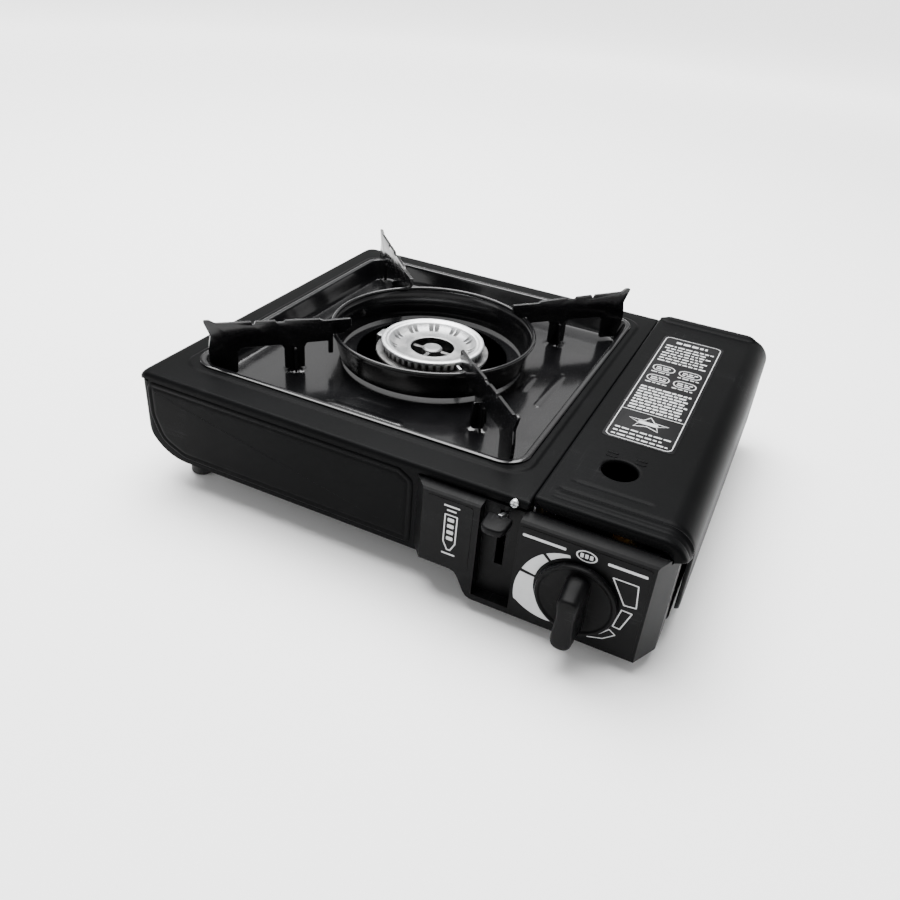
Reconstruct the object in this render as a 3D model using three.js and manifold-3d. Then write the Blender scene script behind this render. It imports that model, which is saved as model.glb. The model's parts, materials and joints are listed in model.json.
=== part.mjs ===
// A portable single-burner gas stove with a cartridge bay under a hinged lid.
// Millimetres. x runs right from the left end of the body, y runs back from its front edge, and
// z runs up from the table. The whole group is then shifted so that the origin lies on the table,
// under the middle of the stove.
import * as THREE from "three";
import { mergeVertices } from "three/addons/utils/BufferGeometryUtils.js";
import Module from "manifold-3d";

const wasm = await Module();
wasm.setup();

// Body
const BODY_WIDTH = 342;
const BODY_DEPTH = 276;
const BODY_HEIGHT = 80;
const SHEET = 1; // steel sheet of every pressed part
const GAP = 0.3; // kept between pieces that touch
const FAR = 500; // longer than any cut
const BURNER_FLOOR = 21; // underside of the burner side
const BAY_FLOOR = 9.3; // underside of the cartridge side
const FLOOR_STEP = 14; // width of the curve between the two floors
const STEP_FROM_SEAM = 23.4; // right end of that curve to the lid's seam
const BOTTOM_RADIUS = 30; // left end, where the side turns under
const BAY_RADIUS = 8;
const TOP_RADIUS = 8; // left end of the top plate
const EDGE_RADIUS = 3; // front and rear edges of the top plate
const PLAN_RADIUS = 6; // upright corners of the body
const SKIRT = 5; // height of the top plate's turned-down edge
const SCREW_TAB = 6.2; // deeper stretch of the skirt that takes the screw
const SCREW_TAB_WIDTH = 14;
const SIDE_LIP = 24; // height of the pan's low right wall
const REAR_RECESS = 8; // how far the bay's rear wall stands in
const FRONT_WALL_DROP = 6.5; // how far the front wall stays under the body's height at the bay
const VENTS = 5; // air slots in the floor, in front of the burner
const VENT_PITCH = 14;
const VENT_WIDTH = 5;
const VENT_LENGTH = 20;
const VENT_FROM_BURNER = 26;

// Drip tray, by its margins to the body's edges and to the lid's seam
const TRAY_LEFT_MARGIN = 25.1;
const TRAY_RIGHT_MARGIN = 18.5;
const TRAY_FRONT_MARGIN = 28.2;
const TRAY_REAR_MARGIN = 23.1;
const TRAY_CORNER = 12;
const TRAY_DEPTH = 12;
const TRAY_SLOPE = 5;
const TRAY_RIM = 4;
const TRAY_HOLE_CLEARANCE = 4.5; // edge of the hole to the electrode's ceramic
const TRAY_COLLAR = 3;
const BOSS_RADIUS = 7;
const BOSS_HEIGHT = 1.5;
const BOSS_REACH = 95.5; // from the burner's axis

// Pan support
const RING_TOP_RADIUS = 68.5;
const RING_BOTTOM_RADIUS = 63.5;
const RING_HEIGHT = 21;
const RING_WALL = 1.2;
const RING_CURL = 1.4;
const ARM_THICKNESS = 2;
const ARM_TIP = 10.5; // how far an arm reaches inside the ring
const ARM_INNER_RISE = 33.5; // pan rest above the tray's floor, at the inner tip
const ARM_OUTER_RISE = 37.5; // and at the outer end
const ARM_HORN = 2;
const ARM_NOTCH = 2.3;
const ARM_NOTCH_REACH = 121;
const ARM_BAR_RISE = 19; // underside of the bar above the tray's floor
const ARM_MIDDLE_LEG = 13;
const ARM_OUTER_LEG = 18;
const ARM_INNER_FOOT = 3;
const ARM_CLEARANCE = 1.2; // outer leg to the tray's wall

// Burner
const BURNER_RADIUS = 35.5;
const BURNER_FLANGE = 3.5; // how far the lower casting stands out past the head
const BURNER_RISE = 12.6; // rim of the head above the tray's floor
const BURNER_HEAD_HEIGHT = 7;
const BURNER_OPENING = 15;
const BURNER_DISH = 5;
const BOWL_NECK = 24;
const BOWL_WALL = 2;
const BOWL_DROP = 30; // underside of the bowl below the tray's floor
const HUB_RADIUS = 7;
const HUB_HEIGHT = 8;
const SPOKE_WIDTH = 3;
const SPOKE_HEIGHT = 4;
const SPOKE_ANGLES = [0, 180, 270]; // degrees from +x
const STAND_WIDTH = 44;
const STAND_DEPTH = 16;
const STAND_FOOT = 10;
const PORTS = 24;
const PORT_WIDTH = 2.4;
const PORT_DEPTH = 2.2;
const TUBE_DROP = 20; // axis of the mixing tube below the tray's floor
const TUBE_RADIUS = 8;
const TUBE_WALL = 1;
const NOZZLE_FROM_SEAM = 40;
const NOZZLE_RADIUS = 4;
const ELECTRODE_CLEARANCE = 6; // its axis to the edge of the lower casting
const ELECTRODE_ANGLE = -40; // degrees from +x
const ELECTRODE_DROP = 4; // top of the ceramic below the burner's rim
const WIRE_RADIUS = 0.8;
const CERAMIC_RADIUS = 2.5;
const CERAMIC_HEIGHT = 24;
const CERAMIC_RING = 8; // its ring above its foot
const BRACKET_HALF = 7;
const PLATE_DROP = 5.5; // heat plate below the tray's floor
const PLATE_HALF = 10;
const PLATE_THICKNESS = 1.5;
const PLATE_PAD_DROP = 12; // lower end of its pad below the cartridge's axis

// Lid over the cartridge bay
const LID_WIDTH = 82.6;
const LID_RISE = 2; // top of the lid above the top plate
const LID_RADIUS = 15;
const LID_FRONT = 3;
const LID_LIP = 6;
const LID_SKIRT_BOTTOM = 18;
const LID_SKIRT_FRONT = 28;
const LID_RIDGE = 1.2;
const LID_RIDGE_WIDTH = 3;
const LID_RIDGE_BACK = 11; // from the lid's front edge
const LID_RIDGE_MARGIN = 9;
const LID_BEAD = 2.5;
const LID_BEAD_WIDTH = 5;
const LID_HOLE_RADIUS = 10;
const LID_HOLE_BACK = 48;
const LID_HOLE_LEFT = 8.3; // of the cartridge's axis
const LABEL_LEFT = 11.8; // from the lid's left edge
const LABEL_WIDTH = 42.5;
const LABEL_FRONT = 82;
const LABEL_LENGTH = 160;
const LABEL_THICKNESS = 0.4;
const LABEL_CORNER = 1.5;
const HINGE_HEIGHT = 66;
const HINGE_FROM_REAR = 4.5;
const HINGE_ROD_RADIUS = 1.5;
const KNUCKLE_WALL = 0.9;
const KNUCKLE_LENGTH = 14;
const EAR_THICKNESS = 2;
const HINGE_END = 9; // outer face of an ear to the bay's side

// Control box
const BOX_STANDOUT = 7.8;
const BOX_WALL = 2;
const BOX_LEFT_OF_SEAM = 56.4;
const BOX_BEVEL = 7.8;
const BOX_RIGHT_MARGIN = 12.4;
const BOX_SIDE_MARGIN = 4.6;
const BOX_SIDE_DEPTH = 26.5;
const BOX_TOP_DROP = 7;
const BOX_LEDGE = 0.6;
const BOX_TOP_BEVEL = 1.5;
const BOX_LEFT_FLOOR = 25;
const CHANNEL_WIDTH = 22;
const CHANNEL_FLOOR = 13;
const CHANNEL_BACK = 0.8; // how far its back wall stands out from the body's front edge
const LEVER_LEFT_OF_SEAM = 12.2;
const LEVER_SLOT = 4.6;

// Knob and valve
const KNOB_FROM_RIGHT = 48;
const KNOB_HEIGHT = 38.5;
const KNOB_RADIUS = 22;
const KNOB_DISC = 4;
const KNOB_STANDOUT = 19.4;
const KNOB_GRIP = 13;
const KNOB_GRIP_REACH = 17.5;
const KNOB_CLEARANCE = 0.8;
const STEM_RADIUS = 3;
const STEM_INSET = 6; // its end behind the knob's front
const GOVERNOR_RADIUS = 13;
const GOVERNOR_LENGTH = 24;
const GOVERNOR_FRONT = 6;
const SOCKET_RADIUS = 12;
const SOCKET_LENGTH = 10;
const SOCKET_HOLE = 5;
const CARTRIDGE_RADIUS = 34;
const CARTRIDGE_RIGHT_MARGIN = 42; // axis of the cartridge to the lid's right side
const CARTRIDGE_AXIS = 46;
const BRIDGE_HALF = 6; // block between the valve and the socket
const BRIDGE_RIGHT = 8; // its right end past the cartridge's axis
const COVER_RADIUS = 11;
const COVER_THICKNESS = 6;
const OUTLET_BACK = 23; // axis of the outlet behind the body's front edge
const OUTLET_HEIGHT = 29;
const OUTLET_RADIUS = 4.5;
const OUTLET_LENGTH = 20;
const PIPE_RADIUS = 2.5;
const IGNITER_DROP = 15; // axis of the igniter below the top plate
const IGNITER_HALF = 6;
const IGNITER_LENGTH = 22;
const TERMINAL_BACK = 16; // its terminal behind its front
const TERMINAL_LEFT = 12; // end of the terminal left of the knob's axis
const SLEEVE_RADIUS = 1.2;
const WIRE_BACK = 77; // where the wire passes the heat shield
const SHIELD_DROP = 4; // top of the heat shield below the top plate
const SHIELD_FOOT = 9;
const CRADLE_HALF = 12;
const CRADLE_FRONT = 70;
const CRADLE_END = 30; // its rear end to a seated cartridge's base
const SADDLE_THICKNESS = 2;
const SADDLE_INSET = 4;

// Lever and carrier
const LEVER_THICKNESS = 2.5;
const LEVER_HEIGHT = 7;
const LEVER_PIVOT_BACK = 55;
const LEVER_PIVOT_HEIGHT = 40;
const LEVER_RISE = 29; // end of the arm above the pivot
const LEVER_END = 8; // end of the arm in front of the body's front edge
const LEVER_HORN = 13.75; // drive stud above the pivot
const STUD_RADIUS = 2;
const STUD_CLEARANCE = 0.6;
const SLOT_DROP = 2.2; // how far the stud sinks in its slot
const PIVOT_RADIUS = 2.5;
const PAD_WIDTH = 13.5;
const PAD_LENGTH = 14;
const PAD_THICKNESS = 4.2;
const PAD_RADIUS = 5;
const CARRIER_THICKNESS = 2;
const CARRIER_HEIGHT = 14;
const CARRIER_FROM_LEVER = 4.3; // centre of the strip right of the lever's middle
const CARRIER_TRAVEL = 6;
const CARTRIDGE_BASE = 240; // rear end of a seated cartridge
const PUSHER_HEIGHT = 30;
const PUSHER_HALF = 16;
const BRACKET_FROM_LEVER = 5;
const BRACKET_THICKNESS = 1.5;
const BRACKET_HALF_DEPTH = 8;

// Feet and screws
const FOOT_RADIUS = 7.5;
const FOOT_INSET = 24;
const FOOT_STUD = 3;
const FOOT_STUD_RISE = 4; // top of the stud above the floor's underside
const SCREW_RADIUS = 2.4;
const SCREW_DROP = 3.8; // below the top plate
const SCREW_HEAD = 1.4;
const SCREW_SHANK = 1.4;
const SCREW_CROSS = 2; // half the length of the cross in its head
const SCREW_CROSS_HALF = 0.5;

// Places worked out from the sizes above
const seam = BODY_WIDTH - LID_WIDTH;
const screwX = seam - SCREW_TAB_WIDTH / 2 - 1;
const screwZ = BODY_HEIGHT - SCREW_DROP;
const inset = SHEET + GAP; // pan's walls behind the top plate's skirt
const panRight = BODY_WIDTH - SHEET - GAP - 2.3;
const panTop = BODY_HEIGHT - EDGE_RADIUS;
const bayFloor = BAY_FLOOR + SHEET + GAP; // where what stands in the bay starts
const burnerFloor = BURNER_FLOOR + SHEET + GAP;
const bayRear = BODY_DEPTH - REAR_RECESS;
const boxSide = BODY_WIDTH - BOX_SIDE_MARGIN;
const boxTop = BODY_HEIGHT - BOX_TOP_DROP;
const stepRight = seam - STEP_FROM_SEAM;
const tray = {
  left: TRAY_LEFT_MARGIN,
  right: seam - TRAY_RIGHT_MARGIN,
  front: TRAY_FRONT_MARGIN,
  rear: BODY_DEPTH - TRAY_REAR_MARGIN,
  floor: BODY_HEIGHT - TRAY_DEPTH,
};
const burnerX = (tray.left + tray.right) / 2;
const burnerY = (tray.front + tray.rear) / 2;
const burnerRim = tray.floor + BURNER_RISE;
const burnerSeat = burnerRim - BURNER_HEAD_HEIGHT;
const bowlBottom = tray.floor - BOWL_DROP;
const tubeZ = tray.floor - TUBE_DROP;
const electrodeReach = BURNER_RADIUS + BURNER_FLANGE + ELECTRODE_CLEARANCE;
const trayHoleRadius = electrodeReach + CERAMIC_RADIUS + TRAY_HOLE_CLEARANCE;
const ceramicTop = burnerRim - ELECTRODE_DROP;
const ceramicFoot = ceramicTop - CERAMIC_HEIGHT;
const nozzleX = seam - NOZZLE_FROM_SEAM;
const knobX = BODY_WIDTH - KNOB_FROM_RIGHT;
const cartridgeX = BODY_WIDTH - CARTRIDGE_RIGHT_MARGIN;
const bridgeEnd = cartridgeX + BRIDGE_RIGHT;
const igniterZ = BODY_HEIGHT - IGNITER_DROP;
const terminalY = GOVERNOR_FRONT + TERMINAL_BACK;
const leverX = seam - LEVER_LEFT_OF_SEAM;
const carrierX = leverX + CARRIER_FROM_LEVER + LEVER_THICKNESS / 2;
const shieldX = seam + SHEET + 2 * GAP;
const lidTop = BODY_HEIGHT + LID_RISE;
const hingeY = BODY_DEPTH - HINGE_FROM_REAR;
const knobFront = BOX_STANDOUT + KNOB_CLEARANCE + KNOB_STANDOUT;
const stemFront = STEM_INSET - KNOB_STANDOUT; // from the box's face

// ---------------------------------------------------------------- solids

const FINISHES = {
  paint: [0x1d1e20, 0.45, 0.35],
  enamel: [0x0b0c0e, 0.15, 0.2],
  plastic: [0x151617, 0.55, 0],
  knob: [0x121314, 0.6, 0],
  steel: [0x9a9c9e, 0.35, 0.9],
  aluminium: [0xc9cbcc, 0.3, 0.95],
  brass: [0xb58a3c, 0.35, 0.9],
  rubber: [0x101010, 0.8, 0],
  ceramic: [0xe8e4da, 0.4, 0],
  label: [0xe6e6e2, 0.6, 0],
};

function toSolid(geometry) {
  geometry.deleteAttribute("normal");
  geometry.deleteAttribute("uv");
  const merged = mergeVertices(geometry, 1e-4);
  const vertProperties = new Float32Array(merged.getAttribute("position").array);
  const triVerts = new Uint32Array(merged.index.array);
  return new wasm.Manifold(new wasm.Mesh({ numProp: 3, vertProperties, triVerts }));
}

function toGeometry(solid) {
  const mesh = solid.getMesh();
  const geometry = new THREE.BufferGeometry();
  geometry.setAttribute("position", new THREE.BufferAttribute(mesh.vertProperties, 3));
  geometry.setIndex(new THREE.BufferAttribute(mesh.triVerts, 1));
  geometry.computeVertexNormals();
  return geometry;
}

function piece(name, solid, finish) {
  const [color, roughness, metalness] = FINISHES[finish];
  const material = new THREE.MeshStandardMaterial({ color, roughness, metalness });
  const mesh = new THREE.Mesh(toGeometry(solid), material);
  mesh.name = name;
  return mesh;
}

function join(...solids) {
  return solids.reduce((whole, next) => whole.add(next));
}

function cut(solid, ...tools) {
  return tools.reduce((rest, tool) => rest.subtract(tool), solid);
}

function common(...solids) {
  return solids.reduce((whole, next) => whole.intersect(next));
}

function box(x0, x1, y0, y1, z0, z1) {
  const geometry = new THREE.BoxGeometry(x1 - x0, y1 - y0, z1 - z0);
  return toSolid(geometry.translate((x0 + x1) / 2, (y0 + y1) / 2, (z0 + z1) / 2));
}

function extrude(shape, depth, curveSegments = 6) {
  return new THREE.ExtrudeGeometry(shape, { depth, bevelEnabled: false, curveSegments });
}

// A shape drawn in x and y, raised from z0 to z1.
function alongZ(shape, z0, z1) {
  return toSolid(extrude(shape, z1 - z0).translate(0, 0, z0));
}

// A shape drawn in x and z, drawn out from y0 to y1.
function alongY(shape, y0, y1) {
  return toSolid(extrude(shape, y1 - y0).rotateX(Math.PI / 2).translate(0, y1, 0));
}

// A shape drawn in y and z, drawn out from x0 to x1.
function alongX(shape, x0, x1) {
  const turn = new THREE.Matrix4().makeBasis(
    new THREE.Vector3(0, 1, 0),
    new THREE.Vector3(0, 0, 1),
    new THREE.Vector3(1, 0, 0),
  );
  return toSolid(extrude(shape, x1 - x0).applyMatrix4(turn).translate(x0, 0, 0));
}

// A profile of [radius, height] points turned about z, counter-clockwise in that plane.
function turned(profile, segments = 36) {
  const points = profile.map(([radius, height]) => new THREE.Vector2(radius, height));
  return toSolid(new THREE.LatheGeometry(points, segments).rotateX(Math.PI / 2));
}

function discZ(x, y, radius, z0, z1, segments = 24) {
  const geometry = new THREE.CylinderGeometry(radius, radius, z1 - z0, segments);
  return toSolid(geometry.rotateX(Math.PI / 2).translate(x, y, (z0 + z1) / 2));
}

function discY(x, z, radius, y0, y1, segments = 24) {
  const geometry = new THREE.CylinderGeometry(radius, radius, y1 - y0, segments);
  return toSolid(geometry.translate(x, (y0 + y1) / 2, z));
}

function discX(y, z, radius, x0, x1, segments = 24) {
  const geometry = new THREE.CylinderGeometry(radius, radius, x1 - x0, segments);
  return toSolid(geometry.rotateZ(Math.PI / 2).translate((x0 + x1) / 2, y, z));
}

function outline(points) {
  return new THREE.Shape(points.map(([a, b]) => new THREE.Vector2(a, b)));
}

function roundedRectangle(x0, x1, y0, y1, radius) {
  const shape = new THREE.Shape();
  shape.absarc(x1 - radius, y0 + radius, radius, -Math.PI / 2, 0, false);
  shape.absarc(x1 - radius, y1 - radius, radius, 0, Math.PI / 2, false);
  shape.absarc(x0 + radius, y1 - radius, radius, Math.PI / 2, Math.PI, false);
  shape.absarc(x0 + radius, y0 + radius, radius, Math.PI, 1.5 * Math.PI, false);
  return shape;
}

// A wire or pipe of round section along a smooth line through the points.
function pipe(points, radius, steps, sides) {
  const path = new THREE.CatmullRomCurve3(points.map((p) => new THREE.Vector3(...p)));
  const circle = new THREE.Shape().absarc(0, 0, radius, 0, 2 * Math.PI, false);
  const options = { steps, extrudePath: path, curveSegments: sides, bevelEnabled: false };
  return toSolid(new THREE.ExtrudeGeometry(circle, options));
}

// ---------------------------------------------------------------- body

// Section of the pan in x and z: the left side turns under, the floor steps down to the bay.
function panSection(offset) {
  const left = inset + offset;
  const right = panRight - offset;
  const high = BURNER_FLOOR + offset;
  const low = BAY_FLOOR + offset;
  const big = BOTTOM_RADIUS - offset;
  const small = BAY_RADIUS - offset;
  const stepX = stepRight + offset / 2;
  const shape = new THREE.Shape();
  shape.moveTo(left, panTop + 2 * offset);
  shape.lineTo(left, high + big);
  shape.absarc(left + big, high + big, big, Math.PI, 1.5 * Math.PI, false);
  shape.lineTo(stepX - FLOOR_STEP, high);
  shape.bezierCurveTo(
    stepX - FLOOR_STEP / 2,
    high,
    stepX - FLOOR_STEP / 2,
    low,
    stepX,
    low,
  );
  shape.absarc(right - small, low + small, small, -Math.PI / 2, 0, false);
  shape.lineTo(right, panTop + 2 * offset);
  return shape;
}

// Plan of the pan: its front right corner stands in behind the control box, and the bay's rear
// wall stands in behind the lid's hinge.
function panPlan(offset) {
  const front = inset + offset;
  const left = inset + offset;
  const narrow = boxSide - BOX_WALL - GAP - offset;
  const radius = PLAN_RADIUS - offset;
  const rear = BODY_DEPTH - inset - offset;
  const shape = new THREE.Shape();
  shape.absarc(left + radius, front + radius, radius, Math.PI, 1.5 * Math.PI, false);
  shape.lineTo(narrow - BOX_BEVEL + offset, front);
  shape.lineTo(narrow, front + BOX_BEVEL);
  shape.lineTo(narrow, LID_SKIRT_FRONT + offset);
  shape.lineTo(panRight - offset, LID_SKIRT_FRONT + offset);
  shape.lineTo(panRight - offset, bayRear - offset);
  shape.lineTo(seam + offset, bayRear - offset);
  shape.lineTo(seam - offset, rear);
  shape.absarc(left + radius, rear - radius, radius, Math.PI / 2, Math.PI, false);
  return shape;
}

function footPlaces() {
  const rearRight = bayRear - FOOT_INSET;
  return [
    ["foot_front_left", FOOT_INSET, FOOT_INSET, BURNER_FLOOR],
    ["foot_rear_left", FOOT_INSET + 2, BODY_DEPTH - FOOT_INSET, BURNER_FLOOR],
    ["foot_front_right", BODY_WIDTH - FOOT_INSET, FOOT_INSET + 4, BAY_FLOOR],
    ["foot_rear_right", BODY_WIDTH - FOOT_INSET, rearRight, BAY_FLOOR],
  ];
}

function leverSlot(y0, y1) {
  const low = LEVER_PIVOT_HEIGHT - LEVER_HEIGHT / 2 - 2;
  const high = LEVER_PIVOT_HEIGHT + LEVER_RISE + 1.5;
  return box(leverX - LEVER_SLOT / 2, leverX + LEVER_SLOT / 2, y0, y1, low, high);
}

function airVents() {
  const half = VENT_WIDTH / 2;
  const back = burnerY - VENT_FROM_BURNER;
  const slots = Array.from({ length: VENTS }, (_, k) => {
    const x = burnerX + (k - (VENTS - 1) / 2) * VENT_PITCH;
    const shape = roundedRectangle(x - half, x + half, back - VENT_LENGTH, back, half - 0.1);
    return alongZ(shape, -1, BURNER_FLOOR + SHEET + 1);
  });
  return join(...slots);
}

function basePan() {
  const outside = common(alongY(panSection(0), 0, BODY_DEPTH), alongZ(panPlan(0), 0, panTop));
  const insideSection = alongY(panSection(SHEET), 0, BODY_DEPTH);
  const inside = common(insideSection, alongZ(panPlan(SHEET), 0, FAR));
  const holes = footPlaces().map(([, x, y, floor]) => {
    return discZ(x, y, FOOT_STUD + GAP, floor - 1, floor + FOOT_STUD_RISE, 16);
  });
  const throughFront = inset + SHEET + 1;
  const baySide = seam - inset - GAP;
  const rearFace = bayRear - SHEET - 0.01;
  const rearWallTop = BODY_HEIGHT - SKIRT - GAP;
  return cut(
    outside,
    inside,
    box(-1, TOP_RADIUS, -1, FAR, BODY_HEIGHT - TOP_RADIUS + SHEET, FAR),
    box(baySide, FAR, -1, throughFront, BODY_HEIGHT - FRONT_WALL_DROP, FAR),
    box(baySide, seam + PLAN_RADIUS, bayRear - PLAN_RADIUS, FAR, rearWallTop, FAR),
    box(seam - SCREW_TAB_WIDTH, seam, -1, throughFront, screwZ - 3, screwZ + 2),
    box(seam + PLAN_RADIUS, FAR, inset + SHEET + 0.01, rearFace, SIDE_LIP, FAR),
    box(panRight - PLAN_RADIUS, FAR, rearFace - 0.01, FAR, BODY_HEIGHT - LID_LIP, FAR),
    leverSlot(0, throughFront),
    discY(knobX, KNOB_HEIGHT, STEM_RADIUS + 2, 0, throughFront),
    airVents(),
    ...holes,
  );
}

function topPlateOutside(offset) {
  const quarter = Math.PI / 2;
  const top = BODY_HEIGHT - offset;
  const rear = BODY_DEPTH - offset;
  const radius = TOP_RADIUS - offset;
  const section = new THREE.Shape();
  section.moveTo(offset, -FAR);
  section.lineTo(seam - GAP - offset, -FAR);
  section.lineTo(seam - GAP - offset, top);
  section.absarc(offset + radius, top - radius, radius, quarter, Math.PI, false);
  const edge = EDGE_RADIUS - offset;
  const depth = new THREE.Shape();
  depth.moveTo(offset, -FAR);
  depth.lineTo(rear, -FAR);
  depth.absarc(rear - edge, top - edge, edge, 0, quarter, false);
  depth.absarc(offset + edge, top - edge, edge, quarter, Math.PI, false);
  const corner = PLAN_RADIUS + inset - offset;
  const plan = alongZ(roundedRectangle(offset, FAR, offset, rear, corner), -FAR, FAR);
  return common(alongY(section, 0, BODY_DEPTH), alongX(depth, 0, FAR), plan);
}

function trayOutline(spread) {
  const { left, right, front, rear } = tray;
  const radius = TRAY_CORNER + spread;
  return roundedRectangle(left - spread, right + spread, front - spread, rear + spread, radius);
}

function topPlate() {
  const kept = join(
    box(-1, FAR, -1, FAR, BODY_HEIGHT - SKIRT, FAR),
    box(-1, TOP_RADIUS + 1, -1, FAR, BODY_HEIGHT - TOP_RADIUS, FAR),
    box(seam - SCREW_TAB_WIDTH - 1, FAR, -1, EDGE_RADIUS, BODY_HEIGHT - SCREW_TAB, FAR),
  );
  const shell = common(cut(topPlateOutside(0), topPlateOutside(SHEET)), kept);
  const opening = alongZ(trayOutline(SHEET + GAP), 0, FAR);
  return cut(shell, opening, discY(screwX, screwZ, SCREW_SHANK + GAP, -1, SHEET + 1, 12));
}

// The dish's hollow or its outside: a rounded rectangle that narrows by the slope to its floor.
function dish(spread, floor, top) {
  const depth = { depth: 1, bevelEnabled: true, bevelSegments: 1, curveSegments: 6 };
  const bevel = { bevelThickness: top - floor, bevelSize: TRAY_SLOPE, bevelOffset: 0 };
  const shape = trayOutline(spread - TRAY_SLOPE);
  const geometry = new THREE.ExtrudeGeometry(shape, { ...depth, ...bevel });
  return toSolid(geometry.translate(0, 0, top));
}

function armAngle() {
  return Math.atan2(burnerY - tray.front - TRAY_CORNER, burnerX - tray.left - TRAY_CORNER);
}

function armAngles() {
  const angle = armAngle();
  return [angle, Math.PI - angle, Math.PI + angle, -angle];
}

function dripTray() {
  const rimBottom = BODY_HEIGHT + GAP;
  const rimTop = rimBottom + SHEET;
  const underside = tray.floor - SHEET;
  const collarTop = tray.floor + TRAY_COLLAR;
  const rim = alongZ(trayOutline(TRAY_RIM), rimBottom, rimTop);
  const outside = common(dish(SHEET, underside, rimTop), box(-1, FAR, -1, FAR, 0, rimTop));
  const hollow = dish(0, tray.floor, rimTop);
  const collarRadius = trayHoleRadius + SHEET;
  const collar = discZ(burnerX, burnerY, collarRadius, underside, collarTop, 48);
  const hole = discZ(burnerX, burnerY, trayHoleRadius, 0, FAR, 48);
  const bosses = armAngles().map((angle) => {
    const x = burnerX + BOSS_REACH * Math.cos(angle);
    const y = burnerY + BOSS_REACH * Math.sin(angle);
    return discZ(x, y, BOSS_RADIUS, underside, tray.floor + BOSS_HEIGHT, 20);
  });
  return cut(join(cut(join(outside, rim), hollow), collar, ...bosses), hole);
}

// A rubber foot with a stud through the floor. Its top follows the underside of the pan.
function foot(x, y, floor) {
  const side = turned(
    [
      [0, 0],
      [FOOT_RADIUS - 1, 0],
      [FOOT_RADIUS, 1],
      [FOOT_RADIUS - 0.8, floor + BOSS_HEIGHT],
      [0, floor + BOSS_HEIGHT],
    ],
    24,
  ).translate([x, y, 0]);
  const stud = discZ(x, y, FOOT_STUD, floor - 2, floor + FOOT_STUD_RISE, 16);
  return join(cut(side, alongY(panSection(-GAP), 0, BODY_DEPTH)), stud);
}

// ---------------------------------------------------------------- inside the body

// Upright sheet between the burner and the cartridge, with slots for what passes through it.
function heatShield() {
  const floor = bayFloor;
  const front = inset + SHEET + 1;
  const rear = bayRear - SHEET - 1;
  const sheet = box(shieldX, shieldX + SHEET, front, rear, floor, BODY_HEIGHT - SHIELD_DROP);
  const foot = box(shieldX, shieldX + SHIELD_FOOT, front, rear, floor, floor + SHEET);
  const slots = [
    [CARTRIDGE_BASE + CARRIER_TRAVEL, LEVER_PIVOT_HEIGHT + LEVER_HORN, 9, CARRIER_HEIGHT / 2 + 1],
    [burnerY, tray.floor - PLATE_DROP + 0.5, PLATE_HALF + 1, 2],
    [OUTLET_BACK, OUTLET_HEIGHT, 7, 7],
    [WIRE_BACK, BODY_HEIGHT - IGNITER_DROP, 7, 5],
    [LEVER_PIVOT_BACK, LEVER_PIVOT_HEIGHT, 4, 4],
  ];
  return cut(
    join(sheet, foot),
    ...slots.map(([y, z, across, up]) => box(0, FAR, y - across, y + across, z - up, z + up)),
  );
}

// Aluminium strip that carries a little of the burner's heat to the cartridge.
function heatPlate() {
  const z = tray.floor - PLATE_DROP;
  const top = z + PLATE_THICKNESS;
  const front = burnerY - PLATE_HALF;
  const rear = burnerY + PLATE_HALF;
  const start = burnerX + BURNER_RADIUS + BURNER_FLANGE + 1;
  const end = cartridgeX - CARTRIDGE_RADIUS - 1;
  const strip = box(start, end, front, rear, z, top);
  const pad = box(end - PLATE_THICKNESS, end, front, rear, CARTRIDGE_AXIS - PLATE_PAD_DROP, top);
  return join(strip, pad);
}

function cradle() {
  const floor = bayFloor;
  const half = CARTRIDGE_RADIUS - 6;
  const left = cartridgeX - CRADLE_HALF;
  const right = cartridgeX + CRADLE_HALF;
  const rear = CARTRIDGE_BASE - CRADLE_END;
  const strip = box(left, right, CRADLE_FRONT, rear, floor, floor + SHEET);
  const lastSaddle = rear - SADDLE_INSET - SADDLE_THICKNESS;
  const hollow = discY(cartridgeX, CARTRIDGE_AXIS, CARTRIDGE_RADIUS + GAP, 0, FAR, 48);
  const saddles = [CRADLE_FRONT + SADDLE_INSET, lastSaddle].map((y) => {
    return box(cartridgeX - half, cartridgeX + half, y, y + SADDLE_THICKNESS, floor, SIDE_LIP);
  });
  return join(strip, cut(join(...saddles), hollow));
}

function burnerStand() {
  const floor = burnerFloor;
  const top = bowlBottom - GAP;
  const half = STAND_WIDTH / 2;
  const [front, rear] = [burnerY - STAND_DEPTH / 2, burnerY + STAND_DEPTH / 2];
  const bridge = box(burnerX - half, burnerX + half, front, rear, top - SHEET, top);
  const legs = [burnerX - half, burnerX + half - SHEET].map((x) => {
    return box(x, x + SHEET, front, rear, floor, top);
  });
  const feet = [burnerX - half - STAND_FOOT, burnerX + half - SHEET].map((x) => {
    return box(x, x + STAND_FOOT + SHEET, front, rear, floor, floor + SHEET);
  });
  return join(bridge, ...legs, ...feet);
}

// ---------------------------------------------------------------- burner, about its own axis

function burnerBowl() {
  const outer = BURNER_RADIUS + BURNER_FLANGE;
  const flangeBottom = burnerSeat - GAP - 2.4;
  const cup = turned(
    [
      [0, bowlBottom],
      [BOWL_NECK, bowlBottom],
      [BOWL_NECK, flangeBottom - 8],
      [outer - 2, flangeBottom],
      [outer, flangeBottom],
      [outer, burnerSeat - GAP],
      [outer - 6, burnerSeat - GAP],
      [BOWL_NECK - BOWL_WALL, flangeBottom - 7],
      [BOWL_NECK - BOWL_WALL, bowlBottom + BOWL_WALL],
      [0, bowlBottom + BOWL_WALL],
    ],
    48,
  );
  return cut(cup, discX(0, tubeZ, TUBE_RADIUS + GAP, 0, FAR, 20));
}

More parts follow.
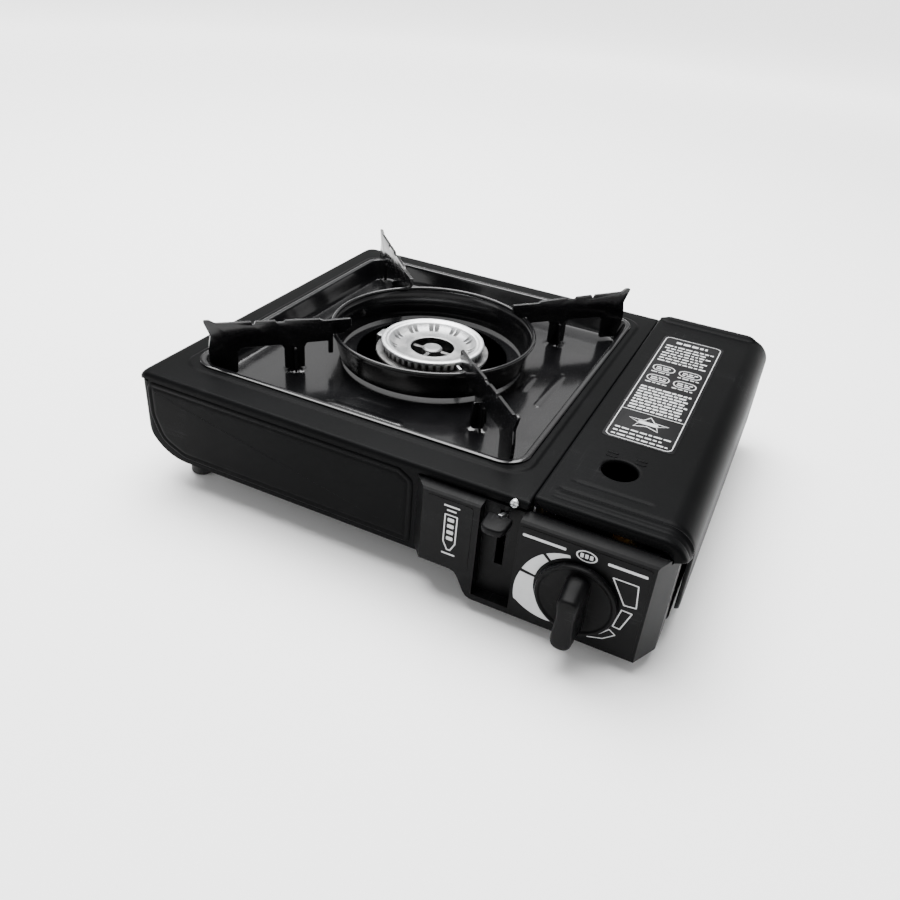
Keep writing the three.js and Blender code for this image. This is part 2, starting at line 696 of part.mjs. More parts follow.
function burnerHead() {
  const base = turned(
    [
      [BURNER_OPENING, burnerRim - BURNER_DISH - 1.6],
      [BURNER_RADIUS - 5, burnerSeat],
      [BURNER_RADIUS - 1.2, burnerSeat],
      [BURNER_RADIUS - 1.2, burnerRim - 2.4],
      [BURNER_RADIUS, burnerRim - 1.8],
      [BURNER_RADIUS, burnerRim - 0.4],
      [BURNER_RADIUS - 1, burnerRim],
      [BURNER_RADIUS - 3, burnerRim],
      [BURNER_OPENING + 1, burnerRim - BURNER_DISH],
      [BURNER_OPENING, burnerRim - BURNER_DISH],
      [BURNER_OPENING, burnerRim - BURNER_DISH - 1.6],
    ],
    PORTS * 2,
  );
  const half = PORT_WIDTH / 2;
  const inner = BURNER_RADIUS - 1.2 - PORT_DEPTH;
  const port = box(inner, BURNER_RADIUS + 1, -half, half, burnerSeat - 1, burnerRim - 2.8);
  const ports = Array.from({ length: PORTS }, (_, k) => {
    return port.rotate([0, 0, ((k + 0.5) * 360) / PORTS]);
  });
  return cut(base, join(...ports));
}

function burnerHub() {
  const top = burnerRim - BURNER_DISH - 0.5;
  const bottom = top - HUB_HEIGHT;
  const button = turned(
    [
      [0, bottom],
      [HUB_RADIUS - 1, bottom],
      [HUB_RADIUS, bottom + 1],
      [HUB_RADIUS, top - 1],
      [HUB_RADIUS - 1.5, top],
      [0, top],
    ],
    24,
  );
  const half = SPOKE_WIDTH / 2;
  const high = top - 2;
  const spoke = box(HUB_RADIUS - 1, BURNER_OPENING - GAP, -half, half, high - SPOKE_HEIGHT, high);
  return join(button, ...SPOKE_ANGLES.map((degrees) => spoke.rotate([0, 0, degrees])));
}

function mixingTube() {
  const start = BOWL_NECK - BOWL_WALL - 2;
  const end = nozzleX - burnerX;
  const tube = discX(0, tubeZ, TUBE_RADIUS, start, end, 20);
  const mouth = discX(0, tubeZ, TUBE_RADIUS + 1.5, end - 6, end, 20);
  const bore = discX(0, tubeZ, TUBE_RADIUS - TUBE_WALL, start - 1, end + 1, 20);
  const air = box(end - 18, end - 9, -TUBE_RADIUS / 2, TUBE_RADIUS / 2, 0, FAR);
  return cut(join(tube, mouth), bore, air);
}

function nozzle() {
  const start = nozzleX - burnerX + 2;
  const body = discX(0, tubeZ, NOZZLE_RADIUS, start, start + 9, 12);
  const tip = discX(0, tubeZ, NOZZLE_RADIUS / 2, start - 6, start + 1, 12);
  return join(body, tip);
}

function electrodePlace() {
  const angle = (ELECTRODE_ANGLE * Math.PI) / 180;
  return [electrodeReach * Math.cos(angle), electrodeReach * Math.sin(angle)];
}

function electrodeCeramic() {
  const [x, y] = electrodePlace();
  const core = discZ(x, y, CERAMIC_RADIUS, ceramicFoot, ceramicTop, 16);
  const low = ceramicFoot + CERAMIC_RING;
  return join(core, discZ(x, y, CERAMIC_RADIUS + 1.2, low, low + 2, 16));
}

function electrodeTip() {
  const [x, y] = electrodePlace();
  const bottom = ceramicTop + GAP;
  const bend = bottom + 2;
  const wire = discZ(x, y, WIRE_RADIUS, bottom, bend + 1, 10);
  const hook = box(-5, WIRE_RADIUS, -WIRE_RADIUS, WIRE_RADIUS, bend, bend + 2 * WIRE_RADIUS);
  return join(wire, hook.rotate([0, 0, ELECTRODE_ANGLE]).translate([x, y, 0]));
}

function electrodeBracket() {
  const [x, y] = electrodePlace();
  const collar = ceramicFoot + CERAMIC_RING - GAP;
  const half = BRACKET_HALF;
  const side = x + half - SHEET;
  const plate = box(x - half, x + half, y - half, y + half, collar - SHEET, collar);
  const leg = box(side, x + half, y - half, y + half, burnerFloor, collar);
  const foot = box(side, side + STAND_FOOT, y - half, y + half, burnerFloor, burnerFloor + SHEET);
  return cut(join(plate, leg, foot), discZ(x, y, CERAMIC_RADIUS + GAP, 0, FAR, 16));
}

// ---------------------------------------------------------------- pan support, about the burner's axis

function supportRing() {
  const bottom = tray.floor + 2;
  const top = tray.floor + 2 + RING_HEIGHT;
  return turned(
    [
      [RING_BOTTOM_RADIUS - RING_WALL, bottom],
      [RING_BOTTOM_RADIUS, bottom],
      [RING_TOP_RADIUS - RING_CURL / 2, top - 4],
      [RING_TOP_RADIUS, top - 2 * RING_CURL],
      [RING_TOP_RADIUS + RING_CURL, top - RING_CURL],
      [RING_TOP_RADIUS, top],
      [RING_TOP_RADIUS - RING_WALL, top - RING_CURL / 2],
      [RING_TOP_RADIUS - RING_WALL - RING_CURL / 2, top - 4],
      [RING_BOTTOM_RADIUS - RING_WALL, bottom],
    ],
    48,
  );
}

// Distance from the burner's axis to the tray's corner at a height, along an arm.
function cornerReach(z) {
  const across = burnerX - tray.left - TRAY_CORNER;
  const along = burnerY - tray.front - TRAY_CORNER;
  const drop = (BODY_HEIGHT + GAP + SHEET - z) / (TRAY_DEPTH + GAP + SHEET);
  return Math.hypot(across, along) + TRAY_CORNER - TRAY_SLOPE * Math.min(Math.max(drop, 0), 1);
}

function armOutline() {
  const floor = tray.floor;
  const tip = RING_TOP_RADIUS - ARM_TIP;
  const ringTop = floor + 2 + RING_HEIGHT;
  const ringOutside = RING_TOP_RADIUS + RING_CURL + GAP;
  const bar = floor + ARM_BAR_RISE;
  const inner = floor + ARM_INNER_RISE;
  const outer = floor + ARM_OUTER_RISE;
  const legTop = cornerReach(BODY_HEIGHT) - ARM_CLEARANCE;
  const legFoot = cornerReach(floor + 2) - ARM_CLEARANCE;
  const middle = BOSS_REACH - ARM_MIDDLE_LEG / 2;
  const middleFoot = floor + BOSS_HEIGHT + GAP;
  return outline([
    [tip, inner],
    [tip, inner - 6],
    [tip + 6, ringTop + GAP],
    [ringOutside, ringTop + GAP],
    [ringOutside, floor + 10],
    [ringOutside + ARM_INNER_FOOT, floor + 10],
    [ringOutside + ARM_INNER_FOOT, bar],
    [middle - 1.5, bar],
    [middle, bar - 3],
    [middle, middleFoot],
    [middle + ARM_MIDDLE_LEG, middleFoot],
    [middle + ARM_MIDDLE_LEG, bar - 3],
    [middle + ARM_MIDDLE_LEG + 2, bar],
    [legTop - ARM_OUTER_LEG - 2, bar],
    [legTop - ARM_OUTER_LEG, bar - 3],
    [legTop - ARM_OUTER_LEG + 1, floor + 2],
    [legFoot, floor + 2],
    [legTop, BODY_HEIGHT],
    [legTop, bar + 2],
    [legTop - 1.6, bar + 10],
    [legTop + 2.4, outer + ARM_HORN],
    [legTop, outer + ARM_HORN],
    [legTop - 4, outer],
    [ARM_NOTCH_REACH + 1.5, outer - 1],
    [ARM_NOTCH_REACH + 0.5, outer - 1 - ARM_NOTCH],
    [ARM_NOTCH_REACH - 0.5, outer - 1 - ARM_NOTCH],
    [ARM_NOTCH_REACH - 1.5, outer - 1],
    [tip + 21, inner + 1.2],
    [tip + 19, inner],
  ]);
}

function supportArm() {
  return alongY(armOutline(), -ARM_THICKNESS / 2, ARM_THICKNESS / 2);
}

// ---------------------------------------------------------------- cartridge side

// Section of the lid in x and z: flat top, rounded right shoulder, skirt down the right side.
function lidSection(offset) {
  const radius = LID_RADIUS - offset;
  const shape = new THREE.Shape();
  shape.moveTo(seam + GAP + offset, -FAR);
  shape.lineTo(BODY_WIDTH - offset, -FAR);
  shape.absarc(BODY_WIDTH - LID_RADIUS, lidTop - LID_RADIUS, radius, 0, Math.PI / 2, false);
  shape.lineTo(seam + GAP + offset, lidTop - offset);
  return shape;
}

function lid() {
  const [outside, inside] = [0, SHEET].map((offset) => {
    return alongY(lidSection(offset), LID_FRONT + offset, BODY_DEPTH - offset);
  });
  const flangeBottom = HINGE_HEIGHT - 2;
  const shoulder = BODY_WIDTH - LID_RADIUS;
  const rearFlange = BODY_DEPTH - SHEET;
  const kept = join(
    box(0, FAR, -1, FAR, lidTop - LID_LIP, FAR),
    box(0, FAR, rearFlange, FAR, flangeBottom, FAR),
    box(shoulder, FAR, LID_SKIRT_FRONT, rearFlange, LID_SKIRT_BOTTOM, FAR),
  );
  const low = lidTop - SHEET / 2;
  const ridgeFront = LID_FRONT + LID_RIDGE_BACK;
  const ridge = box(
    seam + LID_RIDGE_MARGIN,
    BODY_WIDTH - LID_RIDGE_MARGIN,
    ridgeFront,
    ridgeFront + LID_RIDGE_WIDTH,
    low,
    lidTop + LID_RIDGE,
  );
  const beadFront = BODY_DEPTH - LID_BEAD_WIDTH;
  const bead = box(seam + GAP, shoulder, beadFront, BODY_DEPTH, low, lidTop + LID_BEAD);
  const holeX = cartridgeX - LID_HOLE_LEFT;
  const hole = discZ(holeX, LID_FRONT + LID_HOLE_BACK, LID_HOLE_RADIUS, 0, FAR, 32);
  const knuckleRadius = HINGE_ROD_RADIUS + GAP + KNUCKLE_WALL;
  const [webBottom, webTop] = [HINGE_HEIGHT - 1, HINGE_HEIGHT + 1.5];
  const knuckles = knuckleStarts().map((x) => {
    const end = x + KNUCKLE_LENGTH;
    const roll = discX(hingeY, HINGE_HEIGHT, knuckleRadius, x, end, 20);
    return join(roll, box(x, end, hingeY, BODY_DEPTH - SHEET / 2, webBottom, webTop));
  });
  const rodHole = discX(hingeY, HINGE_HEIGHT, HINGE_ROD_RADIUS + GAP, 0, FAR, 20);
  const cover = cut(common(cut(outside, inside), kept), hole);
  return join(cover, ridge, bead, cut(join(...knuckles), rodHole));
}

function earStarts() {
  return [seam + HINGE_END, panRight - HINGE_END - EAR_THICKNESS];
}

function knuckleStarts() {
  const [left, right] = earStarts();
  return [left + EAR_THICKNESS + 1, right - 1 - KNUCKLE_LENGTH];
}

function hingeEar(x) {
  const half = HINGE_ROD_RADIUS + 1.4;
  const end = x + EAR_THICKNESS;
  const plate = box(x, end, bayRear + GAP, hingeY, HINGE_HEIGHT - half, HINGE_HEIGHT + half);
  const eye = discX(hingeY, HINGE_HEIGHT, half, x, end, 20);
  return cut(join(plate, eye), discX(hingeY, HINGE_HEIGHT, HINGE_ROD_RADIUS + GAP, 0, FAR, 20));
}

function hingeRod() {
  const [left, right] = earStarts();
  return discX(hingeY, HINGE_HEIGHT, HINGE_ROD_RADIUS, left - 1, right + EAR_THICKNESS + 1, 16);
}

function label() {
  const left = seam + LABEL_LEFT;
  const rear = LABEL_FRONT + LABEL_LENGTH;
  const bottom = lidTop + GAP;
  const shape = roundedRectangle(left, left + LABEL_WIDTH, LABEL_FRONT, rear, LABEL_CORNER);
  return alongZ(shape, bottom, bottom + LABEL_THICKNESS);
}

function boxPlan(offset) {
  const left = seam - BOX_LEFT_OF_SEAM;
  const past = offset ? 1 : 0; // the hollow runs out through the open back
  const back = inset - GAP + past;
  const front = -BOX_STANDOUT + offset;
  const sideEnd = BOX_SIDE_DEPTH + past;
  const innerSide = boxSide - BOX_WALL - offset;
  return outline([
    [left - BOX_BEVEL + offset, back],
    [left + offset / 2, front],
    [BODY_WIDTH - BOX_RIGHT_MARGIN - offset / 2, front],
    [boxSide - offset, BOX_STANDOUT],
    [boxSide - offset, sideEnd],
    [innerSide, sideEnd],
    [innerSide, BOX_STANDOUT + GAP],
    [innerSide - BOX_BEVEL / 2 - GAP, back],
  ]);
}

// Section of the control box in x and z: its floor steps down beside the lever.
function boxSection(offset) {
  const left = seam - BOX_LEFT_OF_SEAM - BOX_BEVEL;
  const low = BAY_FLOOR - GAP + offset;
  const high = BOX_LEFT_FLOOR + offset;
  const stepX = stepRight + offset / 2;
  const shape = new THREE.Shape();
  shape.moveTo(left, boxTop + BOX_LEDGE - offset);
  shape.lineTo(left, high);
  shape.lineTo(stepX - FLOOR_STEP, high);
  shape.bezierCurveTo(stepX - FLOOR_STEP / 2, high, stepX - FLOOR_STEP / 2, low, stepX, low);
  shape.lineTo(BODY_WIDTH, low);
  shape.lineTo(BODY_WIDTH, boxTop + BOX_LEDGE - offset);
  return shape;
}

function controlBox() {
  const outside = common(alongY(boxSection(0), -FAR, FAR), alongZ(boxPlan(0), 0, FAR));
  const insideSection = alongY(boxSection(BOX_WALL), -FAR, FAR);
  const inside = common(insideSection, alongZ(boxPlan(BOX_WALL), 0, FAR));
  const left = leverX - CHANNEL_WIDTH / 2;
  const right = leverX + CHANNEL_WIDTH / 2;
  const back = inset - GAP;
  const front = -BOX_STANDOUT + 0.5;
  const low = CHANNEL_FLOOR - BOX_WALL;
  const walls = box(left - BOX_WALL, right + BOX_WALL, front, back, low, boxTop);
  const ledge = outline([
    [-BOX_STANDOUT - 1, boxTop - BOX_TOP_BEVEL],
    [-BOX_STANDOUT + BOX_TOP_BEVEL, boxTop],
    [inset, boxTop + BOX_LEDGE],
    [inset, FAR],
    [-FAR, FAR],
    [-FAR, boxTop - BOX_TOP_BEVEL],
  ]);
  const underLid = box(boxSide - BOX_WALL * 4, FAR, back, FAR, boxTop - 2, FAR);
  return cut(
    join(cut(outside, inside), common(walls, outside)),
    box(left, right, -FAR, -CHANNEL_BACK, CHANNEL_FLOOR, FAR),
    leverSlot(-FAR, inset),
    discY(knobX, KNOB_HEIGHT, STEM_RADIUS + 1.5, -FAR, 0),
    alongX(ledge, 0, FAR),
    underLid,
  );
}

// ---------------------------------------------------------------- valve, lever and carrier

function governor() {
  const rear = GOVERNOR_FRONT + GOVERNOR_LENGTH;
  const valve = discY(knobX, KNOB_HEIGHT, GOVERNOR_RADIUS, GOVERNOR_FRONT, rear, 28);
  const [low, high] = [KNOB_HEIGHT - BRIDGE_HALF, CARTRIDGE_AXIS + BRIDGE_HALF];
  const bridge = box(knobX - 10, bridgeEnd, rear - 12, rear, low, high);
  const start = knobX - OUTLET_LENGTH;
  const outlet = discX(OUTLET_BACK, OUTLET_HEIGHT, OUTLET_RADIUS, start, knobX, 16);
  const bore = discY(knobX, KNOB_HEIGHT, STEM_RADIUS + GAP, 0, GOVERNOR_FRONT + 12, 16);
  return cut(join(valve, bridge, outlet), bore);
}

function governorSocket() {
  const start = GOVERNOR_FRONT + GOVERNOR_LENGTH + GAP;
  const collar = discY(cartridgeX, CARTRIDGE_AXIS, SOCKET_RADIUS, start, start + SOCKET_LENGTH, 28);
  return cut(collar, discY(cartridgeX, CARTRIDGE_AXIS, SOCKET_HOLE, start + 2, FAR, 20));
}

function governorCover() {
  const x = bridgeEnd + GAP;
  const y = GOVERNOR_FRONT + GOVERNOR_LENGTH / 2;
  return discX(y, KNOB_HEIGHT, COVER_RADIUS, x, x + COVER_THICKNESS, 24);
}

function gasPipe() {
  return pipe(
    [
      [knobX - OUTLET_LENGTH - GAP, OUTLET_BACK, OUTLET_HEIGHT],
      [shieldX, OUTLET_BACK, OUTLET_HEIGHT],
      [leverX - 8, OUTLET_BACK + 3, OUTLET_HEIGHT + 1],
      [leverX - 12, LEVER_PIVOT_BACK + 5, OUTLET_HEIGHT + 4],
      [nozzleX + 22, burnerY - 36, tubeZ - 6],
      [nozzleX + 23, burnerY - 14, tubeZ - 1],
      [nozzleX + 19, burnerY - 2, tubeZ],
      [nozzleX + 14, burnerY, tubeZ],
      [nozzleX + 11 + 2 * GAP, burnerY, tubeZ],
    ],
    PIPE_RADIUS,
    40,
    3,
  );
}

function piezo() {
  const rear = GOVERNOR_FRONT + IGNITER_LENGTH;
  const [low, high] = [igniterZ - IGNITER_HALF, igniterZ + IGNITER_HALF];
  const block = box(knobX - 8, knobX + 6, GOVERNOR_FRONT, rear, low, high);
  const terminal = discX(terminalY, igniterZ, 2.2, knobX - TERMINAL_LEFT, knobX - 7, 12);
  return join(block, terminal);
}

function igniterWire() {
  const [x, y] = electrodePlace();
  const foot = ceramicFoot - GAP;
  return pipe(
    [
      [knobX - TERMINAL_LEFT - 2 * GAP, terminalY, igniterZ],
      [knobX - TERMINAL_LEFT - 3, terminalY, igniterZ],
      [shieldX + 8, WIRE_BACK - 27, igniterZ],
      [shieldX, WIRE_BACK, igniterZ],
      [leverX, WIRE_BACK + 3, igniterZ],
      [tray.right - 10, WIRE_BACK + 7, tray.floor - 8],
      [burnerX + x + 30, burnerY + y - 14, foot - 6],
      [burnerX + x + 4, burnerY + y - 12, foot - 9],
      [burnerX + x, burnerY + y - 3, foot - 8],
      [burnerX + x, burnerY + y, foot - 3],
      [burnerX + x, burnerY + y, foot - GAP],
    ],
    SLEEVE_RADIUS,
    60,
    2,
  );
}

function valveStem() {
  const depth = GOVERNOR_FRONT + 10 + BOX_STANDOUT;
  return discY(0, 0, STEM_RADIUS, stemFront, depth, 16);
}

function knobBody() {
  const disc = discY(0, 0, KNOB_RADIUS, -KNOB_CLEARANCE - KNOB_DISC, -KNOB_CLEARANCE, 48);
  const grip = alongY(
    roundedRectangle(-KNOB_GRIP / 2, KNOB_GRIP / 2, -KNOB_GRIP_REACH, KNOB_GRIP_REACH, 4),
    -KNOB_CLEARANCE - KNOB_STANDOUT,
    -KNOB_CLEARANCE - KNOB_DISC / 2,
  );
  const bore = discY(0, 0, STEM_RADIUS + GAP, stemFront - GAP, 0, 16);
  return cut(join(disc, grip), bore);
}

// The lever's plate, about its pivot: an arm rising to the front and a short horn above the pivot.
function leverPlate() {
  const reach = LEVER_PIVOT_BACK + LEVER_END;
  const half = LEVER_HEIGHT / 2;
  const plate = outline([
    [-reach, LEVER_RISE - half],
    [0, -half],
    [half, -half],
    [half, LEVER_HORN + half],
    [-half, LEVER_HORN + half],
    [-half, half + 1.5],
    [-reach, LEVER_RISE + half],
  ]);
  const stud = discX(0, LEVER_HORN, STUD_RADIUS, 0, carrierX - leverX + CARRIER_THICKNESS, 12);
  const hole = discX(0, 0, PIVOT_RADIUS + GAP, -FAR, FAR, 16);
  return cut(join(alongX(plate, -LEVER_THICKNESS / 2, LEVER_THICKNESS / 2), stud), hole);
}

// Thumb pad over the lever's front end, with a slot for the plate.
function leverPad() {
  const reach = LEVER_PIVOT_BACK + LEVER_END;
  const rear = 2 - reach;
  const side = PAD_WIDTH / 2;
  const plan = roundedRectangle(-side, side, rear - PAD_LENGTH, rear, PAD_RADIUS);
  const pad = alongZ(plan, LEVER_RISE - PAD_THICKNESS / 2, LEVER_RISE + PAD_THICKNESS / 2);
  const half = LEVER_THICKNESS / 2 + GAP;
  return cut(pad, box(-half, half, -reach - GAP, FAR, LEVER_RISE - FAR, FAR));
}

function leverPin() {
  return discX(0, 0, PIVOT_RADIUS, -4, shieldX + 4 - leverX, 16);
}

function leverBracket() {
  const x = leverX - BRACKET_FROM_LEVER;
  const front = LEVER_PIVOT_BACK - BRACKET_HALF_DEPTH;
  const rear = LEVER_PIVOT_BACK + BRACKET_HALF_DEPTH;
  const plate = box(x, x + BRACKET_THICKNESS, front, rear, bayFloor, LEVER_PIVOT_HEIGHT + 6);
  const foot = box(x, leverX + BRACKET_FROM_LEVER, front, rear, bayFloor, bayFloor + SHEET);
  const hole = discX(LEVER_PIVOT_BACK, LEVER_PIVOT_HEIGHT, PIVOT_RADIUS + GAP, 0, FAR, 16);
  return cut(join(plate, foot), hole);
}

// Strip drawn forward by the lever, with a plate behind the cartridge's base.
function carrier() {
  const z = LEVER_PIVOT_HEIGHT + LEVER_HORN;
  const half = CARRIER_HEIGHT / 2;
  const rear = CARTRIDGE_BASE + CARRIER_TRAVEL;
  const x = carrierX - CARRIER_THICKNESS / 2;
  const front = LEVER_PIVOT_BACK - BRACKET_HALF_DEPTH;
  const end = rear + CARRIER_THICKNESS;
  const right = cartridgeX + PUSHER_HALF;
  const low = CARTRIDGE_AXIS - PUSHER_HEIGHT / 2;
  const strip = box(x, x + CARRIER_THICKNESS, front, end, z - half, z + half);
  const pusher = box(x, right, rear, end, z - half, z + half);
  const plate = box(cartridgeX - PUSHER_HALF, right, rear, end, low, z + half);
  const slot = roundedRectangle(
    LEVER_PIVOT_BACK - STUD_RADIUS - STUD_CLEARANCE,
    LEVER_PIVOT_BACK + STUD_RADIUS + STUD_CLEARANCE,
    z - STUD_RADIUS - SLOT_DROP,
    z + STUD_RADIUS + STUD_CLEARANCE,
    1.5,
  );
  return cut(join(strip, pusher, plate), alongX(slot, x - 1, x + CARRIER_THICKNESS + 1));
}

function screw() {
  const head = discY(0, 0, SCREW_RADIUS, -SCREW_HEAD - GAP, -GAP, 20);
  const shank = discY(0, 0, SCREW_SHANK, -GAP - 0.1, SHEET + GAP / 2, 12);
  const long = SCREW_CROSS;
  const half = SCREW_CROSS_HALF;
  const bottom = -SCREW_HEAD + 0.4;
  const level = box(-long, long, -FAR, bottom, -half, half);
  const upright = box(-half, half, -FAR, bottom, -long, long);
  return cut(join(head, shank), level, upright);
}

// ---------------------------------------------------------------- the stove

const stove = new THREE.Group();

const body = new THREE.Group();
body.add(
  piece("base_pan", basePan(), "paint"),
  piece("top_plate", topPlate(), "paint"),
  piece("drip_tray", dripTray(), "enamel"),
  piece("heat_shield", heatShield(), "steel"),
  piece("heat_plate", heatPlate(), "aluminium"),
  piece("cartridge_cradle", cradle(), "steel"),
  piece("burner_stand", burnerStand(), "steel"),
  piece("control_box", controlBox(), "plastic"),
  piece("governor_body", governor(), "brass"),
  piece("governor_socket", governorSocket(), "brass"),
  piece("governor_cover", governorCover(), "steel"),
  piece("gas_pipe", gasPipe(), "aluminium"),
  piece("piezo_igniter", piezo(), "plastic"),
  piece("igniter_wire", igniterWire(), "rubber"),
  piece("lever_bracket", leverBracket(), "steel"),
  piece("cartridge_carrier", carrier(), "steel"),
  piece("hinge_rod", hingeRod(), "steel"),
);
const earNames = ["hinge_ear_left", "hinge_ear_right"];
earStarts().forEach((x, k) => body.add(piece(earNames[k], hingeEar(x), "steel")));
footPlaces().forEach(([name, x, y, floor]) => {
  body.add(piece(name, foot(x, y, floor), "rubber"));
});
const plateScrew = piece("top_plate_screw", screw(), "steel");
plateScrew.position.set(screwX, 0, screwZ);
body.add(plateScrew);
stove.add(body);

const burner = new THREE.Group();
burner.add(
  piece("burner_bowl", burnerBowl(), "aluminium"),
  piece("burner_head", burnerHead(), "aluminium"),
  piece("burner_hub", burnerHub(), "aluminium"),
  piece("mixing_tube", mixingTube(), "steel"),
  piece("gas_nozzle", nozzle(), "brass"),
  piece("electrode_ceramic", electrodeCeramic(), "ceramic"),
  piece("electrode_tip", electrodeTip(), "steel"),
  piece("electrode_bracket", electrodeBracket(), "steel"),
);
burner.position.set(burnerX, burnerY, 0);
stove.add(burner);

const panSupport = new THREE.Group();
panSupport.add(piece("support_ring", supportRing(), "enamel"));
const armNames = ["rear_right", "rear_left", "front_left", "front_right"];
armAngles().forEach((angle, k) => {
  const arm = piece("support_arm_" + armNames[k], supportArm(), "enamel");
  arm.rotation.z = angle;
  panSupport.add(arm);
});
panSupport.position.copy(burner.position);
stove.add(panSupport);

const lidGroup = new THREE.Group();
lidGroup.add(piece("cartridge_lid", lid(), "paint"), piece("lid_label", label(), "label"));
stove.add(lidGroup);

const knob = new THREE.Group();
knob.add(piece("control_knob", knobBody(), "knob"), piece("valve_stem", valveStem(), "brass"));
knob.position.set(knobX, -BOX_STANDOUT, KNOB_HEIGHT);
stove.add(knob);

const lever = new THREE.Group();
lever.add(
  piece("lock_lever", leverPlate(), "steel"),
  piece("lever_pad", leverPad(), "plastic"),
  piece("lever_pin", leverPin(), "steel"),
);
lever.position.set(leverX, LEVER_PIVOT_BACK, LEVER_PIVOT_HEIGHT);
stove.add(lever);

stove.position.set(-BODY_WIDTH / 2, -(BODY_DEPTH - knobFront) / 2, 0);

export default stove;
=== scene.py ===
# %% [markdown]
# # A portable gas stove, built around its CAD frame
#
# The CAD model is packed already: every solid has its exact size, its place and the body that it
# moves with. This script gives that frame its looks. It keeps one set of coordinates throughout:
# the origin lies on the table under the middle of the stove, x runs right, y runs back, z runs up.

import json
import math

import bmesh
import bpy
import numpy as np
from mathutils import Matrix, Vector


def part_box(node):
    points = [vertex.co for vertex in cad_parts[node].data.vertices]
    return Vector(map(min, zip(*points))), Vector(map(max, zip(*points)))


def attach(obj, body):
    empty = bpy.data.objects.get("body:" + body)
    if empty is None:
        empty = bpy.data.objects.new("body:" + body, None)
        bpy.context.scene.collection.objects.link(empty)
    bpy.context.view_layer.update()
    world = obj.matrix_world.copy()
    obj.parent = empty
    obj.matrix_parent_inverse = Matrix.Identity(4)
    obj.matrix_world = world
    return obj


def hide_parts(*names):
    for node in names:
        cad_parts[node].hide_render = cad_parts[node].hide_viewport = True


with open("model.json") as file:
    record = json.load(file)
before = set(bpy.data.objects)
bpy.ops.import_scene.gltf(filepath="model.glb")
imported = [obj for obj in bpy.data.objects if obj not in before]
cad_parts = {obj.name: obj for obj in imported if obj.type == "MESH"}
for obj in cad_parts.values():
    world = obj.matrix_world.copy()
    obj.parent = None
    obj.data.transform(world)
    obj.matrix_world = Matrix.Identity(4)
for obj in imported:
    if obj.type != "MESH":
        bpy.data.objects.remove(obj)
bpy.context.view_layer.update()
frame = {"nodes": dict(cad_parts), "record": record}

# %% [markdown]
# ## Camera
#
# The camera comes first, so that every test picture already shows the stove as it will be judged.
# A camera could be aimed with a Track To constraint. Here its three axes are worked out from two
# angles and a small roll, and written straight into its matrix: nothing is left to evaluate later.

# %% Camera
CAMERA_PLACE = (0.18222, -0.45416, 0.32748)
CAMERA_AZIMUTH, CAMERA_ELEVATION, CAMERA_ROLL = 23.03, 32.89, 5.22
CAMERA_LENS, CAMERA_SENSOR = 33.173, 36.0


def aim_camera():
    """Back points away from the stove along both angles; right and up are square to it, then both
    turn about it by the roll."""
    azimuth, elevation, roll = np.radians([CAMERA_AZIMUTH, CAMERA_ELEVATION, CAMERA_ROLL])
    flat = math.cos(elevation)
    back = np.array([math.sin(azimuth) * flat, -math.cos(azimuth) * flat, math.sin(elevation)])
    right = np.cross(-back, (0, 0, 1))
    right /= np.linalg.norm(right)
    up = np.cross(right, -back)
    turned_right = math.cos(roll) * right + math.sin(roll) * up
    turned_up = math.cos(roll) * up - math.sin(roll) * right
    axes = Matrix(np.column_stack([turned_right, turned_up, back]).tolist()).to_4x4()
    return Matrix.Translation(CAMERA_PLACE) @ axes


camera = bpy.data.objects.new("camera", bpy.data.cameras.new("camera"))
camera.data.lens, camera.data.sensor_width = CAMERA_LENS, CAMERA_SENSOR
camera.data.clip_start, camera.data.clip_end = 0.01, 50
camera.matrix_world = aim_camera()
bpy.context.scene.collection.objects.link(camera)
bpy.context.scene.camera = camera
print("camera at", CAMERA_PLACE, "with a lens of", CAMERA_LENS, "mm")

# %% [markdown]
# ## Lights
#
# Black gloss shows little of its own colour: what is seen is the reflection of the lamps. Large
# area lights therefore draw the shapes. A wide panel overhead lights the table, and from there it
# isn't mirrored towards the camera. A weaker one low behind gives the flat tops their soft sheen, a
# panel at the front left opens up the front wall, and a narrow one puts a line along the lid. The
# world is brighter low down, behind the table, than overhead, where the flat tops mirror it.

# %% Lights and world
LAMPS = [
    # name, place, the point it faces, width, depth, watts
    ("lamp_overhead", (-0.35, 0.35, 1.65), (0, 0, 0.05), 1.7, 1.7, 150.0),
    ("lamp_behind", (-0.62, 1.25, 0.95), (0, 0.05, 0.06), 1.5, 0.5, 2.6),
    ("lamp_front_left", (-0.9, -1.0, 0.55), (-0.05, 0, 0.04), 0.8, 0.8, 4.0),
    ("lamp_right", (1.15, 0.15, 0.6), (0.1, 0, 0.05), 0.35, 1.0, 1.0),
]
WORLD_STRENGTH = 0.42  # overhead, where the tops mirror it
HORIZON = 1.3  # low down, behind the table


def hang_lamp(name, place, target, width, depth, watts):
    """A rectangle of light at place whose face looks at target."""
    data = bpy.data.lights.new(name, "AREA")
    data.shape, data.size, data.size_y, data.energy = "RECTANGLE", width, depth, watts
    lamp = bpy.data.objects.new(name, data)
    away = Vector(place) - Vector(target)
    lamp.matrix_world = Matrix.Translation(place) @ away.to_track_quat("Z", "Y").to_matrix().to_4x4()
    bpy.context.scene.collection.objects.link(lamp)


